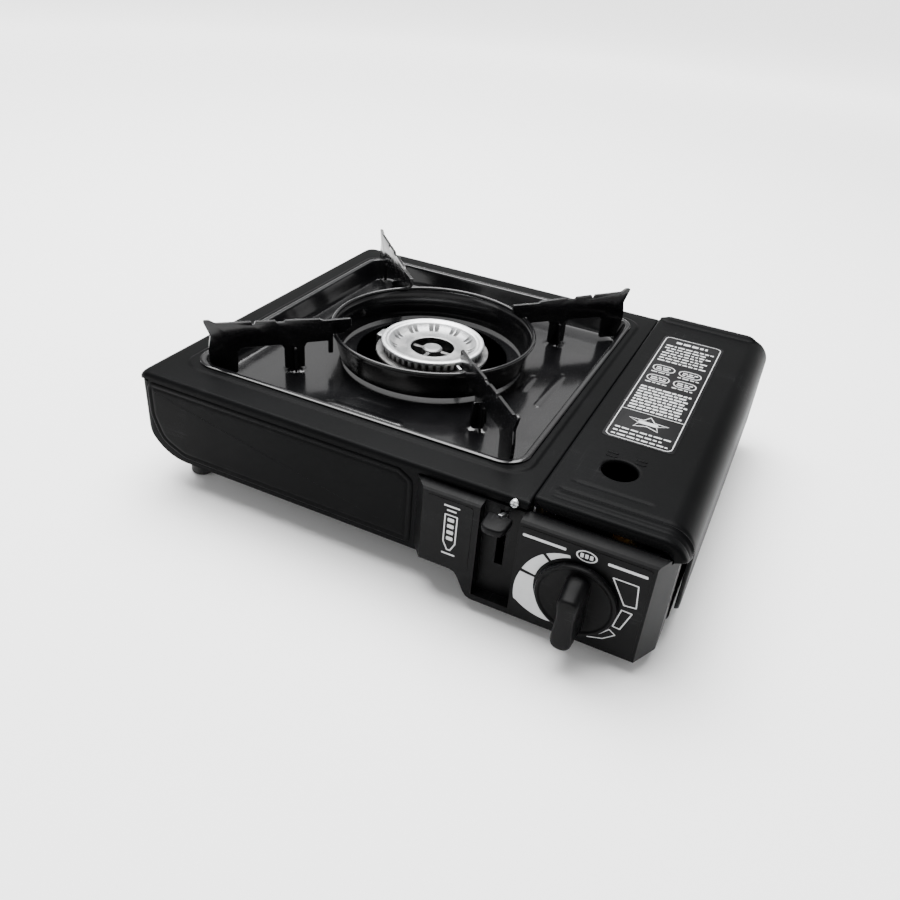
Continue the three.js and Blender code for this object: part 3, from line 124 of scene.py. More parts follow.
for lamp in LAMPS:
    hang_lamp(*lamp)
world = bpy.data.worlds.new("studio")
world.use_nodes = True
bpy.context.scene.world = world
background = world.node_tree.nodes["Background"]
nodes, links = world.node_tree.nodes, world.node_tree.links
direction, height = nodes.new("ShaderNodeTexCoord"), nodes.new("ShaderNodeSeparateXYZ")
sky = nodes.new("ShaderNodeMapRange")
sky.interpolation_type = "SMOOTHSTEP"
for name, value in (("From Min", 0.06), ("From Max", 0.4), ("To Min", HORIZON), ("To Max", WORLD_STRENGTH)):
    sky.inputs[name].default_value = value
links.new(direction.outputs["Generated"], height.inputs[0])
links.new(height.outputs["Z"], sky.inputs["Value"])
links.new(sky.outputs["Result"], background.inputs["Strength"])
background.inputs["Color"].default_value = (1, 1, 1, 1)
print(len(LAMPS), "lamps")
# %% [markdown]
# ## Shader maths as plain expressions
#
# A material is a graph of nodes, and a graph of twenty Math nodes is hard to read. The class
# `Signal` wraps one output socket and overloads Python's operators, so `0.3 + 0.1 * grain` adds
# the two Math nodes by itself. `Finish` is a material being mixed: its `node` method adds any
# node, with its settings first and its inputs after.

# %% Signals and finishes
class Signal:
    """An output socket that Python's operators work on."""

    def __init__(self, finish, socket):
        self.finish, self.socket = finish, socket

    def maths(self, operation, *values, clamp=False):
        settings = {"operation": operation, "use_clamp": clamp}
        return self.finish.node("ShaderNodeMath", settings, dict(enumerate(values)))

    def __add__(self, other):
        return self.maths("ADD", self, other)

    def __radd__(self, other):
        return self.maths("ADD", other, self)

    def __sub__(self, other):
        return self.maths("SUBTRACT", self, other)

    def __rsub__(self, other):
        return self.maths("SUBTRACT", other, self)

    def __mul__(self, other):
        return self.maths("MULTIPLY", self, other)

    def __rmul__(self, other):
        return self.maths("MULTIPLY", other, self)

    def __truediv__(self, other):
        return self.maths("DIVIDE", self, other)

    def __pow__(self, other):
        return self.maths("POWER", self, other)

    def sine(self):
        return self.maths("SINE", self)

    def size(self):
        return self.maths("ABSOLUTE", self)

    def larger(self, other):
        return self.maths("MAXIMUM", self, other)

    def ramp(self, start, end):
        """0 below start, 1 above end, and an S-curve in between."""
        settings = {"interpolation_type": "SMOOTHSTEP"}
        return self.finish.node("ShaderNodeMapRange", settings, {0: self, 1: start, 2: end})


class Finish:
    """A material being mixed, with one Principled shader."""

    def __init__(self, name, **constants):
        self.material = bpy.data.materials.new(name)
        self.material.use_nodes = True
        self.tree = self.material.node_tree
        self.tree.nodes.clear()
        self.shader = self.tree.nodes.new("ShaderNodeBsdfPrincipled")
        output = self.tree.nodes.new("ShaderNodeOutputMaterial")
        self.tree.links.new(self.shader.outputs[0], output.inputs["Surface"])
        self.place = self.node("ShaderNodeTexCoord", output="Object")
        for name, value in constants.items():
            self.feed(name, value)

    def node(self, kind, settings=None, inputs=None, output=0):
        """Adds a node, sets it up, fills its inputs with values or Signals and returns an output."""
        made = self.tree.nodes.new(kind)
        for key, value in (settings or {}).items():
            if key == "stops":
                self.set_stops(made.color_ramp, value)
            else:
                setattr(made, key, value)
        for key, value in (inputs or {}).items():
            self.connect(made.inputs[key], value)
        return Signal(self, made.outputs[output])

    @staticmethod
    def set_stops(ramp, stops):
        while len(ramp.elements) < len(stops):
            ramp.elements.new(1)
        for element, (position, colour) in zip(ramp.elements, stops):
            element.position, element.color = position, (*colour, 1)

    def connect(self, socket, value):
        if isinstance(value, Signal):
            self.tree.links.new(value.socket, socket)
        else:
            socket.default_value = value

    def feed(self, socket, value):
        """Sets one of the shader's own sockets: spaces in its name are written as underscores."""
        self.connect(self.shader.inputs[socket.replace("_", " ")], value)

    def noise(self, size, detail=2.0, roughness=0.5, place=None):
        """Cloudy noise from 0 to 1 whose blots are about size metres across."""
        inputs = {"Vector": place or self.place, "Scale": 1 / size}
        inputs |= {"Detail": detail, "Roughness": roughness}
        return self.node("ShaderNodeTexNoise", None, inputs)

    def cells(self, size, feature="F1", output="Distance"):
        """A pattern of cells about size metres across."""
        inputs = {"Vector": self.place, "Scale": 1 / size}
        return self.node("ShaderNodeTexVoronoi", {"feature": feature}, inputs, output)

    def stretched(self, factors):
        """The object's coordinates scaled by a factor along each axis."""
        settings = {"operation": "MULTIPLY"}
        return self.node("ShaderNodeVectorMath", settings, {0: self.place, 1: factors})

    def axes(self):
        """The object's x, y and z as three Signals."""
        split = self.tree.nodes.new("ShaderNodeSeparateXYZ")
        self.tree.links.new(self.place.socket, split.inputs[0])
        return [Signal(self, output) for output in split.outputs]

    def mix(self, factor, first, second):
        """One colour where the factor is 0, the other where it is 1."""
        settings = {"data_type": "RGBA"}
        inputs = {0: factor, 6: self.colour(first), 7: self.colour(second)}
        return self.node("ShaderNodeMix", settings, inputs, 2)

    @staticmethod
    def colour(value):
        return value if isinstance(value, Signal) else (*value, 1)

    def bump(self, height, depth, strength=1.0):
        """Feeds the normal with a height from 0 to 1 that stands for depth metres."""
        inputs = {"Height": height, "Distance": depth, "Strength": strength}
        self.feed("Normal", self.node("ShaderNodeBump", None, inputs))


def scratches(finish, width, length, share):
    """Fine lines: noise that is stretched along one direction, kept only near its middle value.
    Two directions are laid over each other. 1 on a line and 0 off it."""
    lines = None
    for factors in ((1.0, width / length, 1.0), (width / length, 1.0, 1.0)):
        blots = finish.noise(width * 14, 2.0, 0.6, finish.stretched(factors))
        line = 1 - ((blots - 0.5).size() * 2).ramp(0, share)
        lines = line if lines is None else lines.larger(line)
    return lines


print("signals and finishes are ready")

# %% [markdown]
# ## Finishes
#
# Each real finish has its own fingerprint. Powder coat has an orange peel of about a millimetre
# and a satin gloss. Enamel is smoother and far glossier, with a slow waviness. Moulded plastic
# carries the spark texture of its tool. Zinc crystallises in spangles, and cast aluminium is
# grainy where the mould formed it and ringed where the lathe cut it. Each finish below mixes
# noise of the right size for that, and lets it act on colour, on roughness and on a little bump.

# %% Paint and enamel
def mix_charcoal_paint():
    """Powder coat: a fine peel, faint clouds of a second shade, specks of dust, and scratches only
    where a wide noise says that it was rubbed."""
    paint = Finish("charcoal_powder_coat", Specular_IOR_Level=0.03)
    peel = paint.noise(0.0011, 3.0, 0.55)
    clouds = paint.noise(0.06, 2.0)
    dust = paint.noise(0.0035, 4.0, 0.7).ramp(0.66, 0.8)
    rubbed = scratches(paint, 0.0002, 0.02, 0.012) * paint.noise(0.03).ramp(0.56, 0.72)
    base = paint.mix(clouds.ramp(0.3, 0.7), (0.0012, 0.0013, 0.0014), (0.0019, 0.002, 0.0022))
    base = paint.mix(0.22 * dust, base, (0.03, 0.03, 0.031))
    paint.feed("Base Color", paint.mix(0.3 * rubbed, base, (0.035, 0.035, 0.037)))
    paint.feed("Roughness", 0.4 + 0.07 * clouds + 0.1 * dust - 0.05 * rubbed)
    paint.bump(0.8 * peel + 0.2 * clouds - 0.3 * rubbed, 0.00009, 0.55)
    return paint.material


def mix_black_enamel():
    """Fired enamel: slow waves and small pores in a glossy skin, with haze and long smears that
    change its roughness."""
    enamel = Finish("black_enamel_gloss", Specular_IOR_Level=0.3, Coat_Weight=0.15, Coat_Roughness=0.08)
    waves = enamel.noise(0.012, 2.0, 0.4)
    pores = enamel.cells(0.004).ramp(0.03, 0.09)
    haze = enamel.noise(0.035, 3.0, 0.6)
    smears = enamel.noise(0.05, 3.0, 0.65, enamel.stretched((1.0, 0.25, 1.0))).ramp(0.5, 0.75)
    base = enamel.mix(haze.ramp(0.35, 0.7), (0.002, 0.002, 0.0023), (0.0035, 0.0036, 0.004))
    enamel.feed("Base Color", base)
    enamel.feed("Roughness", 0.12 + 0.1 * haze + 0.08 * smears)
    enamel.bump(0.75 * waves + 0.25 * pores, 0.00025, 0.5)
    return enamel.material


# %% Plastics, rubber and ceramic
def mix_plastic(name, shades, roughness, spark, depth):
    """Moulded plastic: spark is the size of the grain that the tool leaves in it."""
    plastic = Finish(name, Specular_IOR_Level=0.06)
    grain = plastic.noise(spark, 3.0, 0.7)
    clouds = plastic.noise(0.02, 2.0)
    rubbed = scratches(plastic, 0.00015, 0.012, 0.014) * plastic.noise(0.02).ramp(0.52, 0.7)
    base = plastic.mix(clouds.ramp(0.3, 0.7), *shades)
    plastic.feed("Base Color", plastic.mix(0.35 * rubbed, base, (0.05, 0.05, 0.052)))
    plastic.feed("Roughness", roughness + 0.1 * clouds + 0.12 * (grain - 0.5) - 0.06 * rubbed)
    plastic.bump(grain, depth, 0.6)
    return plastic.material


def mix_rubber(name, shade):
    """Matt grain, with dust that lightens it in patches and makes them rougher."""
    rubber = Finish(name, Specular_IOR_Level=0.35)
    grain = rubber.noise(0.0006, 3.0, 0.6)
    dust = rubber.noise(0.004, 4.0, 0.7).ramp(0.5, 0.75)
    rubber.feed("Base Color", rubber.mix(0.4 * dust, shade, (0.06, 0.058, 0.054)))
    rubber.feed("Roughness", 0.68 + 0.2 * dust)
    rubber.bump(grain, 0.0001, 0.7)
    return rubber.material


def mix_ceramic():
    """A glazed body between two cream shades, with fine specks in its surface."""
    ceramic = Finish("glazed_ceramic", Coat_Weight=0.6, Coat_Roughness=0.08)
    specks = ceramic.cells(0.0012).ramp(0.05, 0.2)
    tint = ceramic.noise(0.004)
    ceramic.feed("Base Color", ceramic.mix(tint, (0.82, 0.79, 0.72), (0.7, 0.66, 0.58)))
    ceramic.feed("Roughness", 0.28 + 0.15 * tint)
    ceramic.bump(specks, 0.00005, 0.4)
    return ceramic.material


# %% Metals
def mix_zinc_steel():
    """Zinc crystals as cells, each with its own shade and roughness, under slow stains."""
    zinc = Finish("zinc_steel", Metallic=1.0)
    spangle = zinc.cells(0.005, output="Color")
    shade = zinc.node("ShaderNodeRGBToBW", None, {0: spangle})
    grain = zinc.noise(0.0004, 3.0, 0.7)
    stain = zinc.noise(0.018, 4.0, 0.65).ramp(0.45, 0.75)
    base = zinc.mix(shade, (0.36, 0.37, 0.38), (0.52, 0.53, 0.54))
    zinc.feed("Base Color", zinc.mix(0.5 * stain, base, (0.27, 0.26, 0.25)))
    zinc.feed("Roughness", 0.32 + 0.12 * shade + 0.16 * stain)
    zinc.bump(0.6 * shade + 0.4 * grain, 0.00004, 0.5)
    return zinc.material


def mix_brushed(name, shades, roughness):
    """Rolled or turned metal with fine lines along x and a dull bloom in blots."""
    metal = Finish(name, Metallic=1.0)
    lines = metal.noise(0.0003, 2.0, 0.6, metal.stretched((0.04, 1.0, 1.0)))
    bloom = metal.noise(0.01, 4.0, 0.65)
    metal.feed("Base Color", metal.mix(bloom.ramp(0.35, 0.7), *shades))
    metal.feed("Roughness", roughness + 0.14 * bloom + 0.1 * lines)
    metal.bump(lines, 0.00003, 0.5)
    return metal.material


def mix_cast_aluminium(centre, rim):
    """Lathe rings follow the distance from the burner's axis; the cast skin is grainy, and soot
    and heat have dulled it in blots. Below the rim it darkens with the depth: painted shade, as in the slots."""
    cast = Finish("cast_aluminium", Metallic=0.85)
    x, y, z = cast.axes()
    reach = ((x - centre[0]) ** 2 + (y - centre[1]) ** 2) ** 0.5
    rings = 0.5 + 0.5 * (reach * (2 * math.pi / 0.0007)).sine()
    grain = cast.noise(0.0009, 4.0, 0.7)
    pits = cast.cells(0.0016).ramp(0.05, 0.3)
    bloom = cast.noise(0.012, 4.0, 0.7).ramp(0.4, 0.72)
    base = cast.mix(grain.ramp(0.3, 0.75), (0.5, 0.51, 0.52), (0.76, 0.77, 0.78))
    # painted shade: below the burner's rim the colour darkens towards near black with the depth, standing in
    # for shade in the dish and slots
    depth = (rim - z).ramp(0.0016, 0.0072)
    base = cast.mix(0.94 * depth, base, (0.05, 0.05, 0.05))
    cast.feed("Base Color", cast.mix(0.35 * bloom, base, (0.42, 0.41, 0.4)))
    cast.feed("Roughness", 0.38 + 0.16 * bloom + 0.14 * (grain - 0.5))
    cast.bump(0.5 * grain + 0.2 * rings + 0.3 * pits, 0.00016, 0.6)
    return cast.material


# %% Print
def mix_ink(name, shade, worn):
    """White screen print: dense, slightly uneven, with pinholes where it has worn."""
    ink = Finish(name, Specular_IOR_Level=0.4)
    holes = ink.noise(0.0009, 3.0, 0.7).ramp(0.62, 0.72)
    tone = ink.noise(0.006, 2.0)
    base = ink.mix(tone, shade, tuple(0.86 * part for part in shade))
    ink.feed("Base Color", ink.mix(worn * holes, base, (0.05, 0.05, 0.052)))
    ink.feed("Roughness", 0.46 + 0.12 * tone)
    ink.bump(tone, 0.00003, 0.4)
    return ink.material


slots_of = {part["node"]: part["material_slot"] for part in frame["record"]["subparts"]}
burner_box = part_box("burner_head")
burner_axis = [(burner_box[0][k] + burner_box[1][k]) / 2 for k in range(2)]
burner_rim = burner_box[1][2]
FINISHES = {
    "charcoal_paint": mix_charcoal_paint(),
    "black_enamel": mix_black_enamel(),
    "box_plastic": mix_plastic(
        "black_box_plastic", [(0.0015, 0.0015, 0.0017), (0.0023, 0.0024, 0.0026)],
        0.34, 0.0005, 0.00003,
    ),
    "knob_plastic": mix_plastic(
        "matt_knob_plastic", [(0.0012, 0.0012, 0.0014), (0.002, 0.002, 0.0022)],
        0.38, 0.0004, 0.00005,
    ),
    "galvanised_steel": mix_zinc_steel(),
    "cast_aluminium": mix_cast_aluminium(burner_axis, burner_rim),
    "sheet_aluminium": mix_brushed("rolled_aluminium", [(0.62, 0.63, 0.64), (0.5, 0.5, 0.5)], 0.28),
    "brass": mix_brushed("turned_brass", [(0.66, 0.47, 0.2), (0.44, 0.29, 0.12)], 0.26),
    "foot_rubber": mix_rubber("foot_rubber", (0.012, 0.012, 0.012)),
    "white_ceramic": mix_ceramic(),
    "printed_label": mix_plastic(
        "label_film", [(0.004, 0.004, 0.0044), (0.0055, 0.0055, 0.006)],
        0.36, 0.001, 0.00002,
    ),
    "wire_sleeve": mix_rubber("wire_sleeve", (0.016, 0.016, 0.017)),
}
WHITE_INK = mix_ink("white_print", (0.46, 0.465, 0.47), 0.5)
GREY_INK = mix_ink("grey_print", (0.28, 0.285, 0.29), 0.6)
print(len(FINISHES), "finishes and 2 inks")
# %% [markdown]
# ## Surfaces from grids of points
#
# Every new piece below is a grid of points worked out with numpy, in millimetres, and then put
# into a mesh. A sheet-metal piece is one sheet: its points are computed once, and a second layer
# is set a sheet's thickness behind them. Solidify could do that too, but here the thickness is
# part of the formula and the edges come out closed. Loops of matching points around a rounded
# rectangle are the workhorse: neighbouring loops join into a clean band of quads.

# %% Grids into meshes
MM = 0.001


def grid_faces(rows, columns, wrap_rows=False, wrap_columns=True):
    """Quads of a grid: each joins a point to its neighbours along both directions."""
    row, column = np.meshgrid(
        np.arange(rows if wrap_rows else rows - 1),
        np.arange(columns if wrap_columns else columns - 1),
        indexing="ij",
    )
    next_row, next_column = (row + 1) % rows, (column + 1) % columns
    corners = [row * columns + column, row * columns + next_column]
    corners += [next_row * columns + next_column, next_row * columns + column]
    return np.stack(corners, -1).reshape(-1, 4)


def closed_tube(grid, wrap_rows=False):
    """A stack of closed loops. Unless it wraps round like a ring, its two ends are capped."""
    grid = np.asarray(grid, float)
    rows, columns = grid.shape[:2]
    faces = grid_faces(rows, columns, wrap_rows).tolist()
    if not wrap_rows:
        faces += [list(range(columns))[::-1], list(range((rows - 1) * columns, rows * columns))]
    return grid.reshape(-1, 3), faces


def surface_normals(grid, wrap_columns):
    """The cross product of the steps along the two directions of the grid, at every point."""
    along = np.gradient(grid, axis=0)
    if wrap_columns:
        across = (np.roll(grid, -1, 1) - np.roll(grid, 1, 1)) / 2
    else:
        across = np.gradient(grid, axis=1)
    normals = np.cross(across, along)
    return normals / np.maximum(np.linalg.norm(normals, axis=-1, keepdims=True), 1e-9)


def thick_band(grid, thickness, side=1):
    """A band of closed loops given a thickness: the second layer lies against the normals, and
    the two layers join at both rims, so the whole is one closed ring."""
    grid = np.asarray(grid, float)
    back = grid - side * thickness * surface_normals(grid, True)
    return closed_tube(np.concatenate([grid, back[::-1]]), wrap_rows=True)


def make_piece(name, shells, material, body, replaced=(), sharp=32, outward=True):
    """Puts one or more closed shells of points in millimetres into a mesh that rides on a body."""
    points, faces, start = [], [], 0
    for shell_points, shell_faces in shells:
        points.append(np.asarray(shell_points, float))
        faces += [[start + corner for corner in face] for face in shell_faces]
        start += len(shell_points)
    mesh = bpy.data.meshes.new(name)
    mesh.from_pydata((np.concatenate(points) * MM).tolist(), [], faces)
    settle_mesh(mesh, sharp, outward)
    return place_piece(name, mesh, material, body, replaced)


def settle_mesh(mesh, sharp, outward=True, weld=0.000002):
    """Merges doubles, turns the faces outwards and smooths all edges but the sharp ones."""
    work = bmesh.new()
    work.from_mesh(mesh)
    bmesh.ops.remove_doubles(work, verts=work.verts, dist=weld)
    bmesh.ops.dissolve_degenerate(work, edges=work.edges, dist=weld)
    if outward:
        bmesh.ops.recalc_face_normals(work, faces=work.faces)
    work.to_mesh(mesh)
    work.free()
    mesh.shade_smooth()
    mesh.set_sharp_from_angle(angle=math.radians(sharp))


def place_piece(name, mesh, material, body, replaced=()):
    """Puts a mesh into the scene at the origin, on its body and in its material slot."""
    piece = bpy.data.objects.new(name, mesh)
    piece.data.materials.append(material)
    bpy.context.scene.collection.objects.link(piece)
    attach(piece, body)
    if replaced:
        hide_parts(*replaced)
    print(f"{name}: {len(mesh.polygons)} faces")
    return piece


def node_box(node):
    """A CAD node's lowest and highest corner in millimetres."""
    low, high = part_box(node)
    return np.array(low) / MM, np.array(high) / MM


# %% Loops, profiles and turned shapes
def rounded_loop(box, radii, height, arc=10, side=12):
    """A rounded rectangle (x0, x1, y0, y1) at one height, counter-clockwise from the corner at
    (x1, y0). Each corner has arc + 1 points and each straight side - 1 points, whatever the size,
    so loops made alike match point for point."""
    x0, x1, y0, y1 = box
    radii = np.broadcast_to(radii, 4)
    turn = np.linspace(0, np.pi / 2, arc + 1)
    corners = [(x1, y0, -1, 1), (x1, y1, -1, -1), (x0, y1, 1, -1), (x0, y0, 1, 1)]
    arcs = []
    for k, (x, y, toward_x, toward_y) in enumerate(corners):
        angle = turn + (k - 1) * np.pi / 2
        centre = np.array([x + toward_x * radii[k], y + toward_y * radii[k]])
        arcs.append(centre + radii[k] * np.column_stack([np.cos(angle), np.sin(angle)]))
    share = np.linspace(0, 1, side + 1)[1:-1, None]
    loop = []
    for k, points in enumerate(arcs):
        following = arcs[(k + 1) % 4][0]
        loop += [points, points[-1] + share * (following - points[-1])]
    flat = np.concatenate(loop)
    return np.column_stack([flat, np.broadcast_to(height, len(flat))])


def fillet(points, radii, steps=6):
    """A closed polygon with its corners rounded: each corner becomes steps + 1 points on the arc
    that touches both sides."""
    points = np.asarray(points, float)
    before, after = np.roll(points, 1, 0) - points, np.roll(points, -1, 0) - points
    long_before = np.linalg.norm(before, axis=1)
    long_after = np.linalg.norm(after, axis=1)
    before, after = before / long_before[:, None], after / long_after[:, None]
    half = np.arccos(np.clip((before * after).sum(1), -1, 1)) / 2
    setback = np.broadcast_to(radii, len(points)) / np.tan(np.maximum(half, 1e-3))
    setback = np.minimum(setback, 0.48 * np.minimum(long_before, long_after))
    start, end = points + before * setback[:, None], points + after * setback[:, None]
    share = np.linspace(0, 1, steps + 1)[None, :, None]
    curve = (1 - share) ** 2 * start[:, None] + 2 * share * (1 - share) * points[:, None]
    return (curve + share**2 * end[:, None]).reshape(-1, 2)


def inward(outline, distance):
    """Moves each point of a closed outline, counter-clockwise, to its left by the distance."""
    step = np.roll(outline, -1, 0) - np.roll(outline, 1, 0)
    step /= np.maximum(np.linalg.norm(step, axis=1, keepdims=True), 1e-9)
    return outline + distance * np.column_stack([-step[:, 1], step[:, 0]])


def plate_shell(outline, low, high, edge, place):
    """A plate from a flat outline: its loops run over both rounded edges, and place turns
    (across, up, depth) into x, y, z."""
    bend = np.linspace(0, np.pi / 2, 4)
    sink, rise = edge * (1 - np.sin(bend)), edge * (1 - np.cos(bend))
    layers = list(zip(sink, low + rise)) + list(zip(sink[::-1], high - rise[::-1]))
    loops = [place(inward(outline, inset), depth) for inset, depth in layers]
    return closed_tube(loops)


def onto_table(outline, depth):
    """An outline drawn in x and y, at a height z."""
    return np.column_stack([outline, np.full(len(outline), depth)])


def onto_front(outline, depth):
    """An outline drawn in x and z, at a depth y."""
    return np.column_stack([outline[:, 0], np.full(len(outline), depth), outline[:, 1]])


def turned(profile, centre, columns=128, wave=None):
    """A closed profile of (radius, height) carried round an upright axis. wave, if given, is
    added to the radii: one row for each point of the profile."""
    profile = np.asarray(profile, float)
    angle = np.linspace(0, 2 * np.pi, columns, endpoint=False)
    radius = profile[:, :1] + (0 if wave is None else wave)
    radius = np.broadcast_to(radius, (len(profile), columns))
    x, y = centre[0] + radius * np.cos(angle), centre[1] + radius * np.sin(angle)
    return np.stack([x, y, np.broadcast_to(profile[:, 1:2], radius.shape)], -1)


def smooth(value, start, end):
    """0 before start, 1 after end, and an S-curve in between."""
    share = np.clip((value - start) / (end - start), 0, 1)
    return share * share * (3 - 2 * share)


def bar_outline(x0, x1, y0, y1, radius=0.4):
    """A rounded rectangle with few points, for small flat pieces."""
    return rounded_loop((x0, x1, y0, y1), radius, 0, 4, 2)[:, :2]


print("grids, loops and profiles are ready")
# %% [markdown]
# ## Body pan
#
# The pan is the pressed steel box that everything stands in. The CAD solid already has its exact
# walls, slots and step, but its edges are knife sharp. Rebuilding it would gain nothing, so a
# copy is welded, its edges get a small rounding with the Bevel modifier, and the copy takes its
# place. Behind the front wall's face nothing changes.

# %% Copies with softened edges
def soften(node, body, slot, edge, sharp=28, segments=2):
    """A welded copy of a CAD node whose edges are rounded by edge millimetres."""
    mesh = frame["nodes"][node].data.copy()
    mesh.materials.clear()
    work = bmesh.new()
    work.from_mesh(mesh)
    bmesh.ops.remove_doubles(work, verts=work.verts, dist=0.00001)
    flat = [item for item in work.edges if item.is_manifold and item.calc_face_angle(1) < 0.004]
    bmesh.ops.dissolve_edges(work, edges=flat, use_verts=False)
    work.to_mesh(mesh)
    work.free()
    mesh.shade_smooth()
    mesh.set_sharp_from_angle(angle=math.radians(sharp))
    piece = place_piece(node + "_finished", mesh, FINISHES[slot], body, [node])
    bevel = piece.modifiers.new("edges", "BEVEL")
    bevel.width, bevel.segments, bevel.limit_method = edge * MM, segments, "ANGLE"
    bevel.angle_limit = math.radians(sharp)
    bevel.use_clamp_overlap = True
    bevel.harden_normals = True
    return piece


pan_low, pan_high = node_box("base_pan")
soften("base_pan", "stove_body", "charcoal_paint", 0.3)

# %% [markdown]
# ### Pressed fields of the pan
#
# The front wall left of the control box carries a large flat field with a soft groove round it,
# and the side and rear walls have the same pressing; only the front and rear fields are made here.
# Each field is a shallow pillow: loops of the field's outline step inwards while a profile gives
# their height over the wall. The profile dips at the groove and then stays flat, which is how a
# press tool draws it.

# %% Pressed fields
FIELD_RISE = 0.75  # how far a field stands out from the wall
GROOVE_INSET, GROOVE_WIDTH, GROOVE_DEPTH = 2.6, 2.4, 0.42


def inset_corners(corners, distance):
    """A polygon's corners after all its sides have moved inwards: where the moved lines cross."""
    corners = np.asarray(corners, float)
    before = corners - np.roll(corners, 1, 0)
    after = np.roll(corners, -1, 0) - corners
    before /= np.linalg.norm(before, axis=1, keepdims=True)
    after /= np.linalg.norm(after, axis=1, keepdims=True)
    left_before = np.column_stack([-before[:, 1], before[:, 0]])
    left_after = np.column_stack([-after[:, 1], after[:, 0]])
    lean = 1 + (left_before * left_after).sum(1, keepdims=True)
    return corners + distance * (left_before + left_after) / lean


def field_shell(corners, radii, wall, place):
    """Height over the wall: a quarter round at the edge, then a groove that is one smooth dip."""
    across = np.array([0, 0.15, 0.4, 0.8, 1.3, 1.9, 2.4, 2.8, 3.2, 3.6, 4.0, 4.5, 5.2, 6.5])
    edge = FIELD_RISE * np.sin(np.clip(across / 1.3, 0, 1) * np.pi / 2)
    dip = GROOVE_DEPTH * np.exp(-(((across - GROOVE_INSET - 0.9) / (GROOVE_WIDTH / 2.4)) ** 2))
    radii = np.asarray(radii, float)

    def outline(distance):
        return fillet(inset_corners(corners, distance), np.maximum(radii - distance, 0.5), 10)

    loops = [place(outline(0), wall(-0.6))]
    loops += [place(outline(d), wall(h)) for d, h in zip(across, edge - dip)]
    return closed_tube(loops)


seam_x = node_box("top_plate")[1][0]
box_low, box_high = node_box("control_box")
front_face = pan_low[1]
field_left, field_right = pan_low[0] + 5.5, box_low[0] - 2.6
field_top, field_bottom = 73.2, pan_low[2] + 15.0
field = [
        (field_left + 24, field_bottom),
        (field_right, field_bottom),
        (field_right, field_top - 5.5),
        (field_right - 9, field_top),
        (field_left + 3, field_top),
        (field_left, field_top - 4),
        (field_left, field_bottom + 25),
        (field_left + 7, field_bottom + 7.5),
]
FIELD_RADII = [16, 4, 7, 7, 7, 12, 18, 18]
make_piece(
    "front_field",
    [field_shell(field, FIELD_RADII, lambda rise: front_face - rise, onto_front)],
    FINISHES["charcoal_paint"], "stove_body",
)
rear_face = pan_high[1]
rear_field = [
        (field_left + 24, field_bottom),
        (seam_x - 10, field_bottom),
        (seam_x - 10, field_top - 2),
        (field_left + 3, field_top - 2),
        (field_left, field_top - 6),
        (field_left, field_bottom + 25),
        (field_left + 7, field_bottom + 7.5),
]
REAR_RADII = [16, 7, 7, 7, 12, 18, 18]
make_piece(
    "rear_field",
    [field_shell(rear_field, REAR_RADII, lambda rise: rear_face + rise, onto_front)],
    FINISHES["charcoal_paint"], "stove_body",
)

# %% [markdown]
# ## Top plate
#
# The top plate is drawn from one sheet: a skirt, a rounded edge that is wider at the left end, a
# flat border, a low step that lifts the middle, and the opening for the drip tray. It is a band
# of loops from the skirt's foot in to that opening.

# %% Top plate
plate_low, plate_high = node_box("top_plate")
tray_low, tray_high = node_box("drip_tray")
SHEET = 1.0
TRAY_RIM = 4.0
PLATE_TOP = plate_high[2]
LEFT_ROUND, EDGE_ROUND, SEAM_ROUND = 7.0, 3.0, 1.2
BORDER_DROP = 0.75
recess = (
    tray_low[0] + TRAY_RIM, tray_high[0] - TRAY_RIM, tray_low[1] + TRAY_RIM, tray_high[1] - TRAY_RIM
)
RECESS_CORNER = 12.0
ARC, SIDE = 14, 36
PER_CORNER = ARC + 1
PER_SIDE = SIDE - 1


def around(right, rear, left, front):
    """One value for each side of a rounded loop, blended along the corner arcs. The loop's first
    corner lies between the front and the right side."""
    values, blend = [], smooth(np.arange(PER_CORNER), 0, PER_CORNER - 1)
    for before, after in ((front, right), (right, rear), (rear, left), (left, front)):
        values += [before + (after - before) * blend, np.full(PER_SIDE, float(after))]
    return np.concatenate(values)


def plate_loop(insets, corner, height):
    """A rounded rectangle inside the plate's edges by the insets (right, rear, left, front)."""
    right, rear, left, front = insets
    box = (
        plate_low[0] + left, plate_high[0] - right, plate_low[1] + front, plate_high[1] - rear
    )
    return rounded_loop(box, corner, height, ARC, SIDE)


border = PLATE_TOP - BORDER_DROP
rounds = np.array([SEAM_ROUND, EDGE_ROUND, LEFT_ROUND, EDGE_ROUND])
skirt_foot = around(75.2, 75.0, plate_low[2] - 0.4, 75.0)
side_round = around(*rounds)
loops = [plate_loop(np.zeros(4), [1.2, 1.2, 7.3, 7.3], skirt_foot)]
for turn in np.linspace(0, np.pi / 2, 9):
    inset = rounds * (1 - math.cos(turn))
    corner = [1.2, 1.2, 7.3 - 2.6 * (1 - math.cos(turn)), 7.3 - 2.6 * (1 - math.cos(turn))]
    loops.append(plate_loop(inset, corner, border - side_round * (1 - math.sin(turn))))


def recess_box(spread):
    """The recess's rectangle, moved outwards on all four sides by the spread."""
    x0, x1, y0, y1 = recess
    return (x0 - spread, x1 + spread, y0 - spread, y1 + spread)


